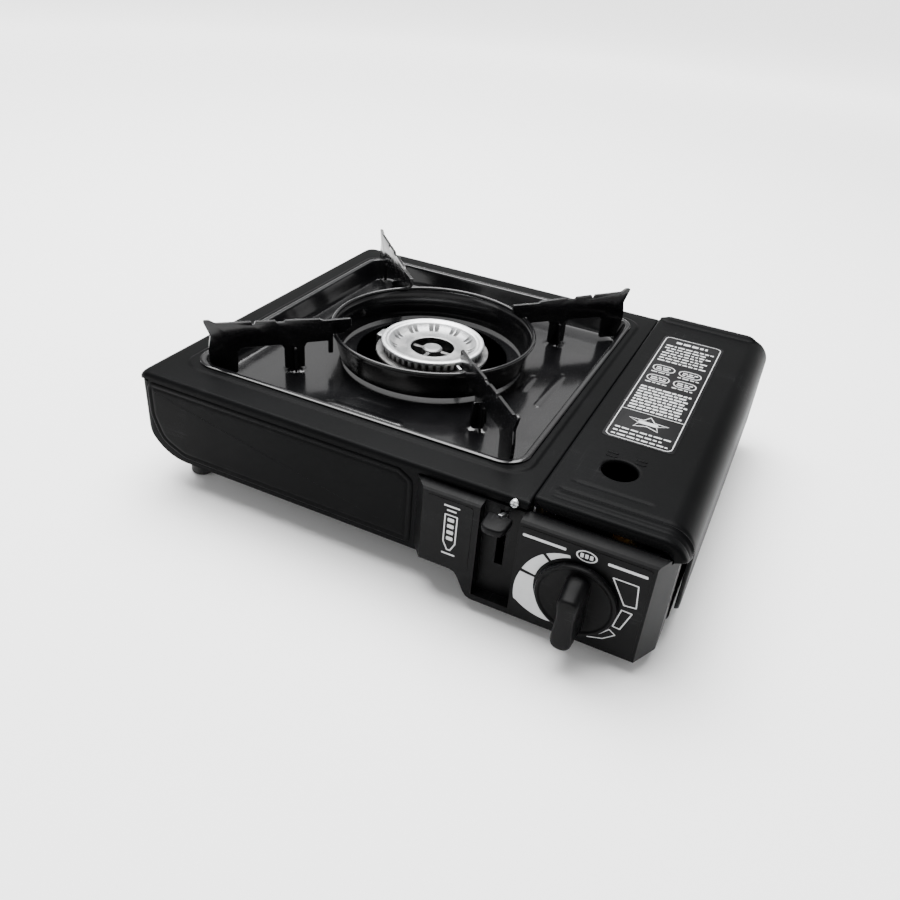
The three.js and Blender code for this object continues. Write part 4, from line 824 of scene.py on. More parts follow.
STEP_SPREAD = 8.5  # from the recess to the step's foot
for spread, corner, height in (
    (STEP_SPREAD + 1.6, 15.5, border),
    (STEP_SPREAD + 0.6, 15.0, border + 0.03),
    (STEP_SPREAD, 14.6, border + 0.18),
    (STEP_SPREAD - 0.7, 14.2, PLATE_TOP - 0.2),
    (STEP_SPREAD - 1.4, 13.8, PLATE_TOP - 0.03),
    (STEP_SPREAD - 2.4, 13.5, PLATE_TOP),
    (1.9, 13.2, PLATE_TOP),
    (1.5, 13.1, PLATE_TOP - 0.12),
    (1.3, 13.0, PLATE_TOP - 0.5),
    (1.3, 13.0, PLATE_TOP - 2.4),
):
    loops.append(rounded_loop(recess_box(spread), corner, height, ARC, SIDE))
make_piece(
    "top_plate_pressed", [thick_band(loops, SHEET - 0.15)],
    FINISHES["charcoal_paint"], "stove_body", ["top_plate"],
)

# %% [markdown]
# ## Drip tray
#
# The tray hangs in that opening by a rolled bead, slopes down to its floor, and ends in a raised
# collar round the burner. Its loops start as rounded rectangles and turn into circles: each loop
# is a blend of the two, point by point. Ribs and the bosses that carry the pan support are
# heights added to the floor afterwards, each a smooth function of the place.

# %% Drip tray
FLOOR = tray_low[2] + SHEET
RIM_TOP = tray_high[2]
SLOPE = 5.0
HOLE_RADIUS, COLLAR_HEIGHT = 52.0, 3.0
BOSS_REACH, BOSS_RADIUS, BOSS_HEIGHT = 95.5, 7.0, 1.5
centre = np.array([(recess[0] + recess[1]) / 2, (recess[2] + recess[3]) / 2])
TRAY_ARC, TRAY_SIDE = 22, 84


def tray_loop(spread, corner, height):
    """A rounded rectangle round the recess: spread outwards, at one height."""
    return rounded_loop(recess_box(spread), corner, height, TRAY_ARC, TRAY_SIDE)


rim_profile = [
    (TRAY_RIM - 0.15, RIM_TOP - 0.95), (TRAY_RIM, RIM_TOP - 0.6), (TRAY_RIM - 0.2, RIM_TOP - 0.28),
    (TRAY_RIM - 0.8, RIM_TOP - 0.08), (TRAY_RIM - 1.7, RIM_TOP), (1.4, RIM_TOP - 0.02),
    (0.7, RIM_TOP - 0.12), (0.25, RIM_TOP - 0.38), (0.0, RIM_TOP - 0.85),
]
wall_profile = [(-0.5, RIM_TOP - 2.2), (-1.6, RIM_TOP - 5.2), (-3.4, FLOOR + 3.6)]
foot_turn = np.linspace(0.35, np.pi / 2, 7)
foot_profile = [(-SLOPE - 2.2 * math.sin(t) + 1.4, FLOOR + 2.6 * (1 - math.sin(t))) for t in foot_turn]
loops = [
    tray_loop(spread, RECESS_CORNER + min(spread, 0) * 0.45 + max(spread, 0), height)
    for spread, height in rim_profile + wall_profile + foot_profile
]
floor_edge = loops[-1][:, :2]
angles = np.arctan2(*(floor_edge - centre).T[::-1])
around_burner = np.column_stack([np.cos(angles), np.sin(angles)])
for share in np.linspace(0, 1, 50)[1:]:
    ring = centre + (HOLE_RADIUS + 2.6) * around_burner
    flat = (1 - share) * floor_edge + share * ring
    loops.append(np.column_stack([flat, np.full(len(flat), FLOOR)]))
for radius, rise in ((1.8, 0.12), (1.2, 0.5), (0.9, 1.1), (0.8, 2.2), (0.55, 2.8), (0.1, COLLAR_HEIGHT)):
    flat = centre + (HOLE_RADIUS + radius) * around_burner
    loops.append(np.column_stack([flat, np.full(len(flat), FLOOR + rise)]))
tray = np.stack(loops)


def rib(points, x0, x1, y0, y1, width, height):
    """A raised bar with round ends between two places: its height falls off with the distance to
    the line that joins them."""
    start, end = np.array([x0, y0]), np.array([x1, y1])
    along = end - start
    share = np.clip(((points - start) @ along) / (along @ along), 0, 1)
    distance = np.linalg.norm(points - start - share[..., None] * along, axis=-1)
    return height * (1 - smooth(distance, 0.25 * width, width))


floor_rows = slice(len(rim_profile + wall_profile + foot_profile) - 2, -6)
plan = tray[floor_rows, :, :2]
lift = np.zeros(plan.shape[:2])
diagonal = math.atan2(centre[1] - recess[2] - RECESS_CORNER, centre[0] - recess[0] - RECESS_CORNER)
ARM_ANGLES = [diagonal, math.pi - diagonal, math.pi + diagonal, -diagonal]
for angle in ARM_ANGLES:
    place = centre + BOSS_REACH * np.array([math.cos(angle), math.sin(angle)])
    distance = np.linalg.norm(plan - place, axis=-1)
    lift = np.maximum(lift, BOSS_HEIGHT * (1 - smooth(distance, BOSS_RADIUS - 3.2, BOSS_RADIUS)))
x0, x1, y0, y1 = recess
for inset, reach in ((20.0, 24.0), (36.0, 11.0)):
    for side in (-1, 1):
        x = x0 + inset if side < 0 else x1 - inset
        y = y0 + inset if side < 0 else y1 - inset
        lift = np.maximum(lift, rib(plan, x, x, centre[1] - reach, centre[1] + reach, 3.2, 0.4))
        lift = np.maximum(lift, rib(plan, centre[0] - reach, centre[0] + reach, y, y, 3.2, 0.4))
tray[floor_rows, :, 2] += lift
make_piece(
    "drip_tray_pressed", [thick_band(tray, 0.8)],
    FINISHES["black_enamel"], "drip_tray", ["drip_tray"],
)
# %% [markdown]
# ## Pan support
#
# A drawn ring with a curled top edge, and four stamped arms. The ring is a profile carried round
# the burner's axis. An arm is a plate: its outline is drawn once, with small radii as the punch
# leaves them, and turned to the four diagonals.

# %% Support ring
ring_low, ring_high = node_box("support_ring")
ring_outer = (ring_high[0] - ring_low[0]) / 2
RING_TOP = ring_high[2]
RING_FOOT = ring_low[2]
RING_CURL = 1.4
curl = ring_outer - RING_CURL
curl_turn = np.linspace(-0.2, 1.25 * np.pi, 12)
curl_points = [(curl + 1.35 * math.cos(t), RING_TOP - 1.4 + 1.35 * math.sin(t)) for t in curl_turn]
bottom_radius = curl - 5.0
profile = [
    (bottom_radius - 0.9, RING_FOOT + 0.1), (bottom_radius - 0.2, RING_FOOT),
    (bottom_radius + 0.05, RING_FOOT + 0.3), (curl - 0.9, RING_TOP - 4.6), (curl - 0.2, RING_TOP - 3.0),
    *curl_points, (curl - 1.75, RING_TOP - 3.0), (curl - 2.2, RING_TOP - 4.6),
    (bottom_radius - 1.05, RING_FOOT + 0.5),
]
make_piece(
    "support_ring_drawn", [closed_tube(turned(profile, centre, 256), wrap_rows=True)],
    FINISHES["black_enamel"], "pan_support", ["support_ring"], sharp=50,
)

# %% Support arms
ARM_HALF = 1.0
ARM_TIP, ARM_TOP = 58.0, 37.5
LEG_WIDTH = 13.0
WALL_REACH = math.hypot(centre[0] - x0 - RECESS_CORNER, centre[1] - y0 - RECESS_CORNER) + RECESS_CORNER


def corner_reach(height):
    """Distance from the burner's axis to the tray's wall at a height, along an arm."""
    drop = (RIM_TOP - height) / (RIM_TOP - FLOOR)
    return WALL_REACH - SLOPE * min(max(drop, 0), 1)


def arm_outline():
    """Points (reach, height) and the radius of each corner, counter-clockwise."""
    bar, ring_out = FLOOR + 19, ring_outer + 0.3
    top = FLOOR + ARM_TOP
    leg = BOSS_REACH - LEG_WIDTH / 2
    leg_end = leg + LEG_WIDTH
    wall_top = corner_reach(PLATE_TOP) - 1.2
    wall_foot = corner_reach(FLOOR + 2) - 1.2
    notch = 121.0
    corners = [
        (ARM_TIP, FLOOR + 33.5, 1.2), (ARM_TIP, FLOOR + 27.5, 1.0), (ARM_TIP + 6, RING_TOP + 0.3, 1.5),
        (ring_out, RING_TOP + 0.3, 0.6), (ring_out, FLOOR + 10, 0.8), (ring_out + 3, FLOOR + 10, 0.8),
        (ring_out + 3, bar, 1.5), (leg - 1.5, bar, 1.5), (leg, bar - 3, 1.5),
        (leg, FLOOR + BOSS_HEIGHT + 0.3, 1.2), (leg_end, FLOOR + BOSS_HEIGHT + 0.3, 1.2),
        (leg_end, bar - 3, 1.5), (leg_end + 2, bar, 1.5), (wall_top - 20, bar, 1.5),
        (wall_top - 18, bar - 3, 1.5), (wall_top - 17, FLOOR + 2, 1.5), (wall_foot, FLOOR + 2, 2.0),
        (wall_top, PLATE_TOP, 3.0), (wall_top, bar + 2, 3.0), (wall_top - 1.6, bar + 10, 3.0),
        (wall_top + 2.4, top + 2, 1.5), (wall_top - 1.4, top + 2, 1.4), (wall_top - 5, top - 0.3, 2.5),
        (notch + 1.5, top - 1, 0.5), (notch + 0.5, top - 3.3, 0.4), (notch - 0.5, top - 3.3, 0.4),
        (notch - 1.5, top - 1, 0.5), (notch - 13.5, top - 1.5, 0.5), (notch - 14.5, top - 3.0, 0.4),
        (notch - 19.5, top - 3.0, 0.4), (notch - 20.5, top - 1.8, 0.5),
        (ARM_TIP + 21, FLOOR + 34.7, 1.5), (ARM_TIP + 19, FLOOR + 33.5, 1.5),
    ]
    return fillet([corner[:2] for corner in corners], [corner[2] for corner in corners], 4)


ARM_NAMES = ["rear_right", "rear_left", "front_left", "front_right"]
outline = arm_outline()


def arm_shells(angle):
    """The stamped plate, and at its middle leg a tab bent over square to it."""
    along = np.array([math.cos(angle), math.sin(angle)])
    across = np.array([-math.sin(angle), math.cos(angle)])

    def stand(shape, depth):
        plan = centre + shape[:, :1] * along + depth * across
        return np.column_stack([plan, shape[:, 1]])

    def stand_square(shape, depth):
        plan = centre + depth * along + shape[:, :1] * across
        return np.column_stack([plan, shape[:, 1]])

    tab = fillet(
        [(-5.5, FLOOR + 1.9), (5.5, FLOOR + 1.9), (4.2, FLOOR + 17.5), (-4.2, FLOOR + 17.5)], 1.2, 4
    )
    plate = plate_shell(outline, -ARM_HALF, ARM_HALF, 0.3, stand)
    return [plate, plate_shell(tab, BOSS_REACH - 0.9, BOSS_REACH + 0.9, 0.3, stand_square)]


for name, angle in zip(ARM_NAMES, ARM_ANGLES):
    make_piece(
        "support_arm_stamped_" + name, arm_shells(angle),
        FINISHES["black_enamel"], "pan_support", ["support_arm_" + name],
    )

# %% [markdown]
# ## Burner
#
# The burner is cast aluminium: a lower bowl that mixes gas and air, and a head with a serrated
# skirt where the flames leave. Both are profiles carried round the axis. The teeth are a wave
# that is added to the radius on some rows of the profile only, and the slots in the dish are the
# same trick with a narrower wave.

# %% Burner
head_low, head_high = node_box("burner_head")
bowl_low, bowl_high = node_box("burner_bowl")
HEAD_RADIUS = (head_high[0] - head_low[0]) / 2
BOWL_RADIUS = (bowl_high[0] - bowl_low[0]) / 2
RIM, SEAT = head_high[2], head_low[2]
TEETH, TEETH_COLUMNS = 44, 704
OPENING = 15.0
turn_columns = np.arange(TEETH_COLUMNS) / TEETH_COLUMNS


def square_wave(count, share, softness, offset=0.0):
    """A wave round the axis: 1 over a share of each of count spans, 0 elsewhere, soft between."""
    phase = (turn_columns * count + offset) % 1
    distance = np.abs(phase - 0.5)
    return 1 - smooth(distance, share / 2 - softness, share / 2 + softness)


tooth_gap = square_wave(TEETH, 0.42, 0.07)
pair = square_wave(11, 0.15, 0.025, 0.13) + square_wave(11, 0.15, 0.025, -0.13)
head_rows = [
    # radius, height, how deep the gaps cut, how deep the slots sink
    (OPENING, RIM - 6.4, 0, 0), (OPENING + 6, RIM - 6.9, 0, 0), (28.6, SEAT + 0.2, 0, 0),
    (30.2, SEAT, 0, 0), (33.6, SEAT, 2.6, 0), (34.1, SEAT + 0.3, 3.0, 0), (34.3, SEAT + 1.6, 3.0, 0),
    (34.4, RIM - 3.0, 2.8, 0), (34.6, RIM - 2.6, 0.6, 0), (34.9, RIM - 2.4, 0, 0), (35.4, RIM - 2.0, 0, 0),
    (35.5, RIM - 1.5, 0, 0), (35.45, RIM - 0.9, 0, 0), (35.1, RIM - 0.4, 0, 0), (34.5, RIM - 0.1, 0, 0),
    (33.7, RIM, 0, 0), (32.9, RIM - 0.05, 0, 0), (32.2, RIM - 0.3, 0, 0), (31.8, RIM - 0.75, 0, 0),
    (31.4, RIM - 0.95, 0, 0), (30.8, RIM - 1.0, 0, 0), (30.3, RIM - 1.15, 0, 0), (29.9, RIM - 1.6, 0, 0),
    (29.4, RIM - 2.3, 0, 0.0), (28.9, RIM - 2.8, 0, 1.6), (27.2, RIM - 4.4, 0, 1.9),
    (25.3, RIM - 5.2, 0, 1.1),
    (24.2, RIM - 5.4, 0, 0.0), (21.5, RIM - 5.7, 0, 0), (18.5, RIM - 5.75, 0, 0), (17.0, RIM - 5.6, 0, 0),
    (16.0, RIM - 5.4, 0, 0), (15.3, RIM - 5.5, 0, 0), (OPENING, RIM - 5.8, 0, 0),
]
rows = np.array(head_rows)
scale = HEAD_RADIUS / 35.5
head = turned(rows[:, :2] * [scale, 1], centre, TEETH_COLUMNS, -rows[:, 2:3] * tooth_gap)
head[..., 2] -= rows[:, 3:4] * pair
make_piece(
    "burner_head_cast", [closed_tube(head, wrap_rows=True)],
    FINISHES["cast_aluminium"], "stove_body", ["burner_head"], sharp=40,
)

NECK, BOWL_FOOT, FLANGE_TOP = 24.0, bowl_low[2], bowl_high[2]
bowl_profile = [
    (0.02, BOWL_FOOT), (NECK - 3, BOWL_FOOT), (NECK - 1, BOWL_FOOT + 0.6), (NECK, BOWL_FOOT + 2.5),
    (NECK, FLANGE_TOP - 11), (NECK + 0.6, FLANGE_TOP - 9.6), (BOWL_RADIUS - 3, FLANGE_TOP - 2.9),
    (BOWL_RADIUS - 1.6, FLANGE_TOP - 2.3), (BOWL_RADIUS - 0.5, FLANGE_TOP - 2.1),
    (BOWL_RADIUS, FLANGE_TOP - 1.6), (BOWL_RADIUS, FLANGE_TOP - 0.5), (BOWL_RADIUS - 0.4, FLANGE_TOP - 0.1),
    (BOWL_RADIUS - 1.2, FLANGE_TOP), (BOWL_RADIUS - 6, FLANGE_TOP), (NECK - 2, FLANGE_TOP - 9.2),
    (NECK - 2, BOWL_FOOT + 4), (NECK - 4, BOWL_FOOT + 2), (0.02, BOWL_FOOT + 2),
]
# The lug on the left side of the bowl is where the casting was fed.
LUG_REACH, LUG_ROOT, LUG_HALF, LUG_CORNER = 3.0, 8.0, 6.0, 2.8
bowl_left = centre[0] - BOWL_RADIUS
lug = bar_outline(
    bowl_left - LUG_REACH, bowl_left + LUG_ROOT, centre[1] - LUG_HALF, centre[1] + LUG_HALF, LUG_CORNER
)
lug_shell = plate_shell(lug, FLANGE_TOP - 5.0, FLANGE_TOP + 2.4, 1.0, onto_table)
make_piece(
    "burner_bowl_cast", [closed_tube(turned(bowl_profile, centre, 128), wrap_rows=True), lug_shell],
    FINISHES["cast_aluminium"], "stove_body", ["burner_bowl"],
)
soften("burner_hub", "stove_body", "cast_aluminium", 0.5, segments=3)
# %% [markdown]
# ## Lid over the cartridge bay
#
# The lid is one drawn sheet: its section has a short lip on the left, a flat top, a broad rounded
# shoulder and a long skirt on the right. That section is carried from front to rear. At both ends
# it bends over into a lip, which is the same section stepped inwards. The skirt starts further
# back than the top, so the front boundary is a function of the place along the section.

# %% Lid section and its two ends
lid_low, lid_high = node_box("cartridge_lid")
LID_TOP = 82.0
SHOULDER, LEFT_EDGE, END_ROUND = 15.0, 1.5, 2.4
LIP_HEIGHT = 6.0
lid_left, lid_right = lid_low[0] + 0.3, lid_high[0]
lid_front, lid_rear = lid_low[1], lid_high[1]
SKIRT_BACK = 25.0  # how far behind the lid's front edge the skirt starts
SKIRT_FOOT = lid_low[2]


def lid_columns():
    """Points along the section as (x, z), the direction that leads inside the sheet at each, and
    the greatest step inwards there: small at the free edges, a lip's height along the top."""
    lip = np.linspace(LID_TOP - LIP_HEIGHT + 1, LID_TOP - LEFT_EDGE, 5)[:-1]
    turn = np.linspace(np.pi, np.pi / 2, 6)
    flat = np.arange(lid_left + LEFT_EDGE, lid_right - SHOULDER, 0.95)[1:]
    bend = np.linspace(np.pi / 2, 0, 26)
    skirt = np.linspace(LID_TOP - SHOULDER, SKIRT_FOOT, 30)[1:]
    middle = lid_right - SHOULDER
    x = np.concatenate([
        np.full(4, lid_left), lid_left + LEFT_EDGE * (1 + np.cos(turn)), flat,
        middle + SHOULDER * np.cos(bend), np.full(29, lid_right),
    ])
    z = np.concatenate([
        lip, LID_TOP - LEFT_EDGE * (1 - np.sin(turn)), np.full(len(flat), LID_TOP),
        LID_TOP - SHOULDER * (1 - np.sin(bend)), skirt,
    ])
    inside_x = np.concatenate([np.ones(4), -np.cos(turn), np.zeros(len(flat)), -np.cos(bend), -np.ones(29)])
    inside_z = np.concatenate([np.zeros(4), -np.sin(turn), -np.ones(len(flat)), -np.sin(bend), np.zeros(29)])
    return x, z, inside_x, inside_z


column_x, column_z, inside_x, inside_z = lid_columns()
on_skirt = 1 - smooth(column_z, SKIRT_FOOT + 44, SKIRT_FOOT + 56)
near_left = 1 - smooth(column_x, lid_left, lid_left + 8)
front_lip = END_ROUND + (LIP_HEIGHT - END_ROUND) * (1 - on_skirt) * (1 - near_left)
REAR_LIP_HEIGHT = 15.6
near_shoulder = smooth(column_x, lid_right - 20, lid_right - 8)
rear_lip = END_ROUND + (REAR_LIP_HEIGHT - END_ROUND) * (1 - near_shoulder) * (1 - near_left)
foot_round = 9.0 * (1 - np.sqrt(np.clip(1 - ((SKIRT_FOOT + 9.0 - column_z) / 9.0).clip(0, 1) ** 2, 0, 1)))
front_edge = lid_front + SKIRT_BACK * on_skirt + foot_round


def lid_row(step_in, y):
    """The lid's section at one y, moved inwards along its normals by step_in."""
    return np.stack([column_x + inside_x * step_in, y, column_z + inside_z * step_in], -1)


bend = np.linspace(0, np.pi / 2, 7)
rows = [lid_row(front_lip * share + END_ROUND * (1 - share), front_edge) for share in (1.0, 0.7, 0.4, 0.15)]
rows += [lid_row(END_ROUND * (1 - math.sin(t)), front_edge + END_ROUND * (1 - math.cos(t))) for t in bend]
rear_start = lid_rear - END_ROUND
steps = np.concatenate([np.linspace(0, 0.26, 110)[1:], np.linspace(0.26, 1, 170)[1:]])
front_start = front_edge + END_ROUND
rows += [lid_row(0, front_start + share * (rear_start - front_start)) for share in steps[:-1]]
rows += [
    lid_row(END_ROUND * (1 - math.cos(t)), np.full(len(column_x), rear_start + END_ROUND * math.sin(t)))
    for t in bend
]
rows += [
    lid_row(rear_lip * share + END_ROUND * (1 - share), np.full(len(column_x), lid_rear))
    for share in (0.2, 0.5, 0.8, 1.0)
]
lid_grid = np.stack(rows)
print("lid grid", lid_grid.shape)

# %% [markdown]
# ### Ridge, groove and bead of the lid
#
# The press also leaves a ridge near the front, a soft groove behind it and a bead along the rear.
# All three run across the lid, so each is a height that depends on y, times a mask that fades it
# out towards the sides. They move the points along the section's outward direction, which keeps
# the ridge following the shoulder where it turns down.

# %% Pressings
x, y, z = lid_grid[..., 0], lid_grid[..., 1], lid_grid[..., 2]
ridge_y = lid_front + 12.0
across = column_x - lid_left


def bell(values, middle, half):
    """1 at the middle and falling off on both sides: e to the minus (distance / half) squared."""
    return np.exp(-(((values - middle) / half) ** 2))


fade = smooth(across, 7.0, 10.5)
ridge = 1.15 * bell(y, ridge_y, 1.0) * fade * (1 - on_skirt)
hollow = 0.5 * bell(y, ridge_y + 3.4, 1.5) * fade * (1 - on_skirt)
groove_mask = smooth(across, 11, 15) * (1 - smooth(across, 53, 57))
groove = 0.6 * bell(y, lid_front + 25.5, 1.25) * groove_mask
bead_mask = 1 - smooth(column_x, lid_right - SHOULDER - 2, lid_right - SHOULDER + 6)
bead_y = lid_rear - 3.6
bead = 2.35 * np.clip(1 - ((y - bead_y) / 2.7) ** 2, 0, 1) ** 0.5 * bead_mask * (1 - near_left)
behind = 0.5 * bell(y, bead_y - 5.6, 1.6) * bead_mask * (1 - near_left)
ear_groove = 0.35 * (bell(y, lid_front + 6.6, 0.9)) * fade * (1 - on_skirt)
on_face = (z > SKIRT_FOOT).astype(float)
rise = (ridge - hollow - groove - behind - ear_groove) * on_face
rise += np.where(y > rear_start, bead * 0.0, bead)
lid_grid[..., 0] -= inside_x * rise
lid_grid[..., 2] -= inside_z * rise
lid_grid[..., 0] = np.minimum(lid_grid[..., 0], lid_right)

# %% [markdown]
# ### The round hole
#
# A grid of quads has no room for a circle. So a square block of it is taken out, and a patch of
# rings goes in: the outer ring is the block's own rim, the inner ones pull towards the circle,
# and the last ones turn down through the sheet.

# %% Hole in the lid
HOLE_RADIUS = 10.0
hole = np.array([lid_right - 50.3, lid_front + 48.0])
block = 13.5
row_y = lid_grid[:, 30, 1]
col_x = lid_grid[60, :, 0]
i0, i1 = np.searchsorted(row_y[11:260], [hole[1] - block, hole[1] + block]) + 11
j0, j1 = [int(np.argmin(np.abs(col_x[:95] - value))) for value in (hole[0] - block, hole[0] + block)]
thickness = SHEET - 0.1
back_grid = lid_grid + thickness * np.stack(
    [inside_x, np.zeros_like(inside_x), inside_z], -1
) * np.ones((len(lid_grid), 1, 1))
end_shift = np.zeros(len(lid_grid))
end_shift[:4], end_shift[-4:] = thickness, -thickness
back_grid[:4] = lid_grid[:4]
back_grid[-4:] = lid_grid[-4:]
back_grid[:4, :, 1] += thickness
back_grid[-4:, :, 1] -= thickness
for k, t in enumerate(bend):
    back_grid[4 + k] = lid_grid[4 + k]
    back_grid[4 + k, :, 0] += thickness * math.sin(t) * inside_x
    back_grid[4 + k, :, 2] += thickness * math.sin(t) * inside_z
    back_grid[4 + k, :, 1] += thickness * math.cos(t)
    m = len(lid_grid) - 11 + k
    back_grid[m] = lid_grid[m]
    back_grid[m, :, 0] += thickness * math.cos(t) * inside_x
    back_grid[m, :, 2] += thickness * math.cos(t) * inside_z
    back_grid[m, :, 1] -= thickness * math.sin(t)
lid_rows, lid_cols = lid_grid.shape[:2]
count = lid_rows * lid_cols
quads = grid_faces(lid_rows, lid_cols, wrap_columns=False)
quad_row, quad_col = np.divmod(np.arange(len(quads)), lid_cols - 1)
kept = ~((quad_row >= i0) & (quad_row < i1) & (quad_col >= j0) & (quad_col < j1))
quads = quads[kept]
rim = np.concatenate([
    np.arange(lid_cols - 1), lid_cols - 1 + lid_cols * np.arange(lid_rows - 1),
    count - 1 - np.arange(lid_cols - 1), lid_cols * np.arange(lid_rows - 1, 0, -1),
])
following = np.roll(rim, -1)
strip = np.stack([rim, rim + count, following + count, following], -1)
block_rim = np.concatenate([
    i0 * lid_cols + np.arange(j0, j1), np.arange(i0, i1) * lid_cols + j1,
    i1 * lid_cols + np.arange(j1, j0, -1), np.arange(i1, i0, -1) * lid_cols + j0,
])
top_ring = lid_grid.reshape(-1, 3)[block_rim]
back_ring = back_grid.reshape(-1, 3)[block_rim]
spoke = np.arctan2(top_ring[:, 1] - hole[1], top_ring[:, 0] - hole[0])
circle = np.column_stack([np.cos(spoke), np.sin(spoke)])
patch = []
for share in np.linspace(0, 1, 7)[:-1]:
    patch.append(top_ring * [1 - share, 1 - share, 1] + share * np.column_stack(
        [hole + (HOLE_RADIUS + 1.6) * circle, np.zeros(len(circle))]))
# How far outside the hole's edge and how far under the lid's top each ring of the rolled rim lies.
ROLLED_RIM = (
    (1.6, 0.0), (0.9, 0.12), (0.4, 0.45), (0.15, 0.9), (0.1, 1.9), (0.9, 1.9), (1.0, 1.2), (1.6, 0.95),
)
for outside, drop in ROLLED_RIM:
    level = np.full(len(circle), LID_TOP - drop)
    patch.append(np.column_stack([hole + (HOLE_RADIUS + outside) * circle, level]))
patch.append(back_ring)
patch_points, patch_faces = np.concatenate(patch), grid_faces(len(patch), len(block_rim))
faces = np.concatenate([quads, quads[:, ::-1] + count, strip, patch_faces + 2 * count])
lid_points = np.concatenate([lid_grid.reshape(-1, 3), back_grid.reshape(-1, 3), patch_points])
used, renumbered = np.unique(faces, return_inverse=True)
lid_shell = (lid_points[used], renumbered.reshape(faces.shape).tolist())
print("hole block", i0, i1, j0, j1)

# %% Small bars beside the hole, hinge knuckles and the finished lid
bars = []
for dx in (-11.5, 5.0):
    for dy in (10.6, 14.4):
        shape = bar_outline(hole[0] + dx, hole[0] + dx + 6.5, lid_front + 48 + dy, lid_front + 49.8 + dy, 0.9)
        bars.append(plate_shell(shape, LID_TOP - 0.3, LID_TOP + 0.35, 0.3, onto_table))
ear_left, ear_right = node_box("hinge_ear_left"), node_box("hinge_ear_right")
rod_low, rod_high = node_box("hinge_rod")
rod_y, rod_z = (rod_low[1] + rod_high[1]) / 2, (rod_low[2] + rod_high[2]) / 2


def knuckle_shell(start, end):
    """A strip of the rear flange rolled round the rod: a spiral that starts at the flange."""
    turn = np.linspace(-0.42, 1.78 * np.pi, 26)
    outer = np.column_stack([rod_y + 2.7 * np.cos(turn), rod_z + 2.7 * np.sin(turn)])
    inner = np.column_stack([rod_y + 1.85 * np.cos(turn), rod_z + 1.85 * np.sin(turn)])
    section = np.concatenate([outer, inner[::-1]])
    loops = [np.column_stack([np.full(len(section), x), section]) for x in (start, end)]
    return closed_tube(loops)


def knuckle_web(start, end):
    """The short flat stretch that joins the rolled strip to the rear flange."""
    near, far = rod_y + 2.0, lid_rear - 0.5
    low, high = rod_z - 1, rod_z + 1.5
    section = fillet([(near, low), (far, low), (far, high), (near, high)], 0.2, 2)
    loops = [np.column_stack([np.full(len(section), x), section]) for x in (start, end)]
    return closed_tube(loops)


KNUCKLE = 14.0
starts = [ear_left[1][0] + 1, ear_right[0][0] - 1 - KNUCKLE]
knuckles = [make(start, start + KNUCKLE) for start in starts for make in (knuckle_shell, knuckle_web)]
# Every shell here is wound outwards as it is made, so nothing is recalculated. Doing that turns the
# small bars inside out.
make_piece(
    "cartridge_lid_pressed", [lid_shell, *bars, *knuckles],
    FINISHES["charcoal_paint"], "lid", ["cartridge_lid"], sharp=40, outward=False,
)

# %% [markdown]
# ## Label on the lid
#
# A thin film with a rounded frame, lines of small print and pictogram blocks. The wording of the
# real thing is left out: rows of short bars stand for lines of print, and plain shapes stand for
# the pictograms. The print is real geometry a few hundredths of a millimetre thick, so it keeps
# its edges at any distance. Bar lengths come from a seeded generator.

# %% Label
label_low, label_high = node_box("lid_label")
FILM_TOP = LID_TOP + 0.22
film = bar_outline(label_low[0], label_high[0], label_low[1], label_high[1], 3.0)
make_piece(
    "lid_label_film", [plate_shell(film, LID_TOP + 0.02, FILM_TOP, 0.05, onto_table)],
    FINISHES["printed_label"], "lid", ["lid_label"],
)
PRINT_TOP = FILM_TOP + 0.05
random = np.random.default_rng(7)


def print_shell(shape, low=FILM_TOP - 0.05, high=PRINT_TOP):
    """A thin slab of ink: one outline at two heights."""
    return closed_tube([onto_table(shape, low), onto_table(shape, high)])


def frame_shell(x0, x1, y0, y1, radius, width, low=FILM_TOP - 0.05, high=PRINT_TOP):
    """A thin rounded frame: outer and inner loop, at the foot and at the top of the print."""
    outer = rounded_loop((x0, x1, y0, y1), radius, 0, 6, 8)[:, :2]
    inside = (x0 + width, x1 - width, y0 + width, y1 - width)
    inner = rounded_loop(inside, max(radius - width, 0.1), 0, 6, 8)[:, :2]
    loops = [onto_table(outer, low), onto_table(outer, high), onto_table(inner, high), onto_table(inner, low)]
    return closed_tube(loops, wrap_rows=True)


def words(x0, x1, y, height, gap=1.0):
    """A line of print: bars of random length with gaps, from x0 to x1."""
    bars, x = [], x0
    while x < x1 - 1.5:
        end = min(x + random.uniform(1.6, 5.2), x1)
        bars.append(print_shell(bar_outline(x, end, y, y + height, 0.25)))
        x = end + gap
    return bars


x0, x1 = label_low[0] + 1.6, label_high[0] - 1.6
y0, y1 = label_low[1] + 1.6, label_high[1] - 1.6
divider = y0 + 36.0
inside_left, inside_right = x0 + 3.0, x1 - 3.0
prints = [frame_shell(x0, x1, y0, y1, 4.0, 0.55)]
prints.append(print_shell(bar_outline(x0 + 0.4, x1 - 0.4, divider, divider + 0.55, 0.2)))
middle = (x0 + x1) / 2
prints += words(middle - 11, middle + 11, y1 - 8.5, 3.0, 1.2)
for k in range(7):
    prints += words(inside_left + 2 * (k == 2), inside_right - 3 * (k % 2), y1 - 15.5 - 4.4 * k, 1.7)
for row in range(2):
    for side in (0, 1):
        left = inside_left + side * 17.6
        base = y1 - 58.5 - 16.5 * row
        prints.append(frame_shell(left, left + 15.0, base, base + 9.5, 4.4, 0.7))
        prints += words(left + 2.6, left + 12.6, base + 5.2, 1.3)
        prints += words(left + 2.6, left + 12.6, base + 2.5, 1.3)
        prints += words(left + 0.6, left + 14.6, base - 3.0, 1.2)
for k in range(9):
    prints += words(inside_left, inside_right - 2 * (k % 2), divider + 3.0 + 3.9 * k, 1.9, 0.8)
star = np.pi / 2 + np.arange(10) * np.pi / 5
reach = np.where(np.arange(10) % 2, 4.0, 8.6)
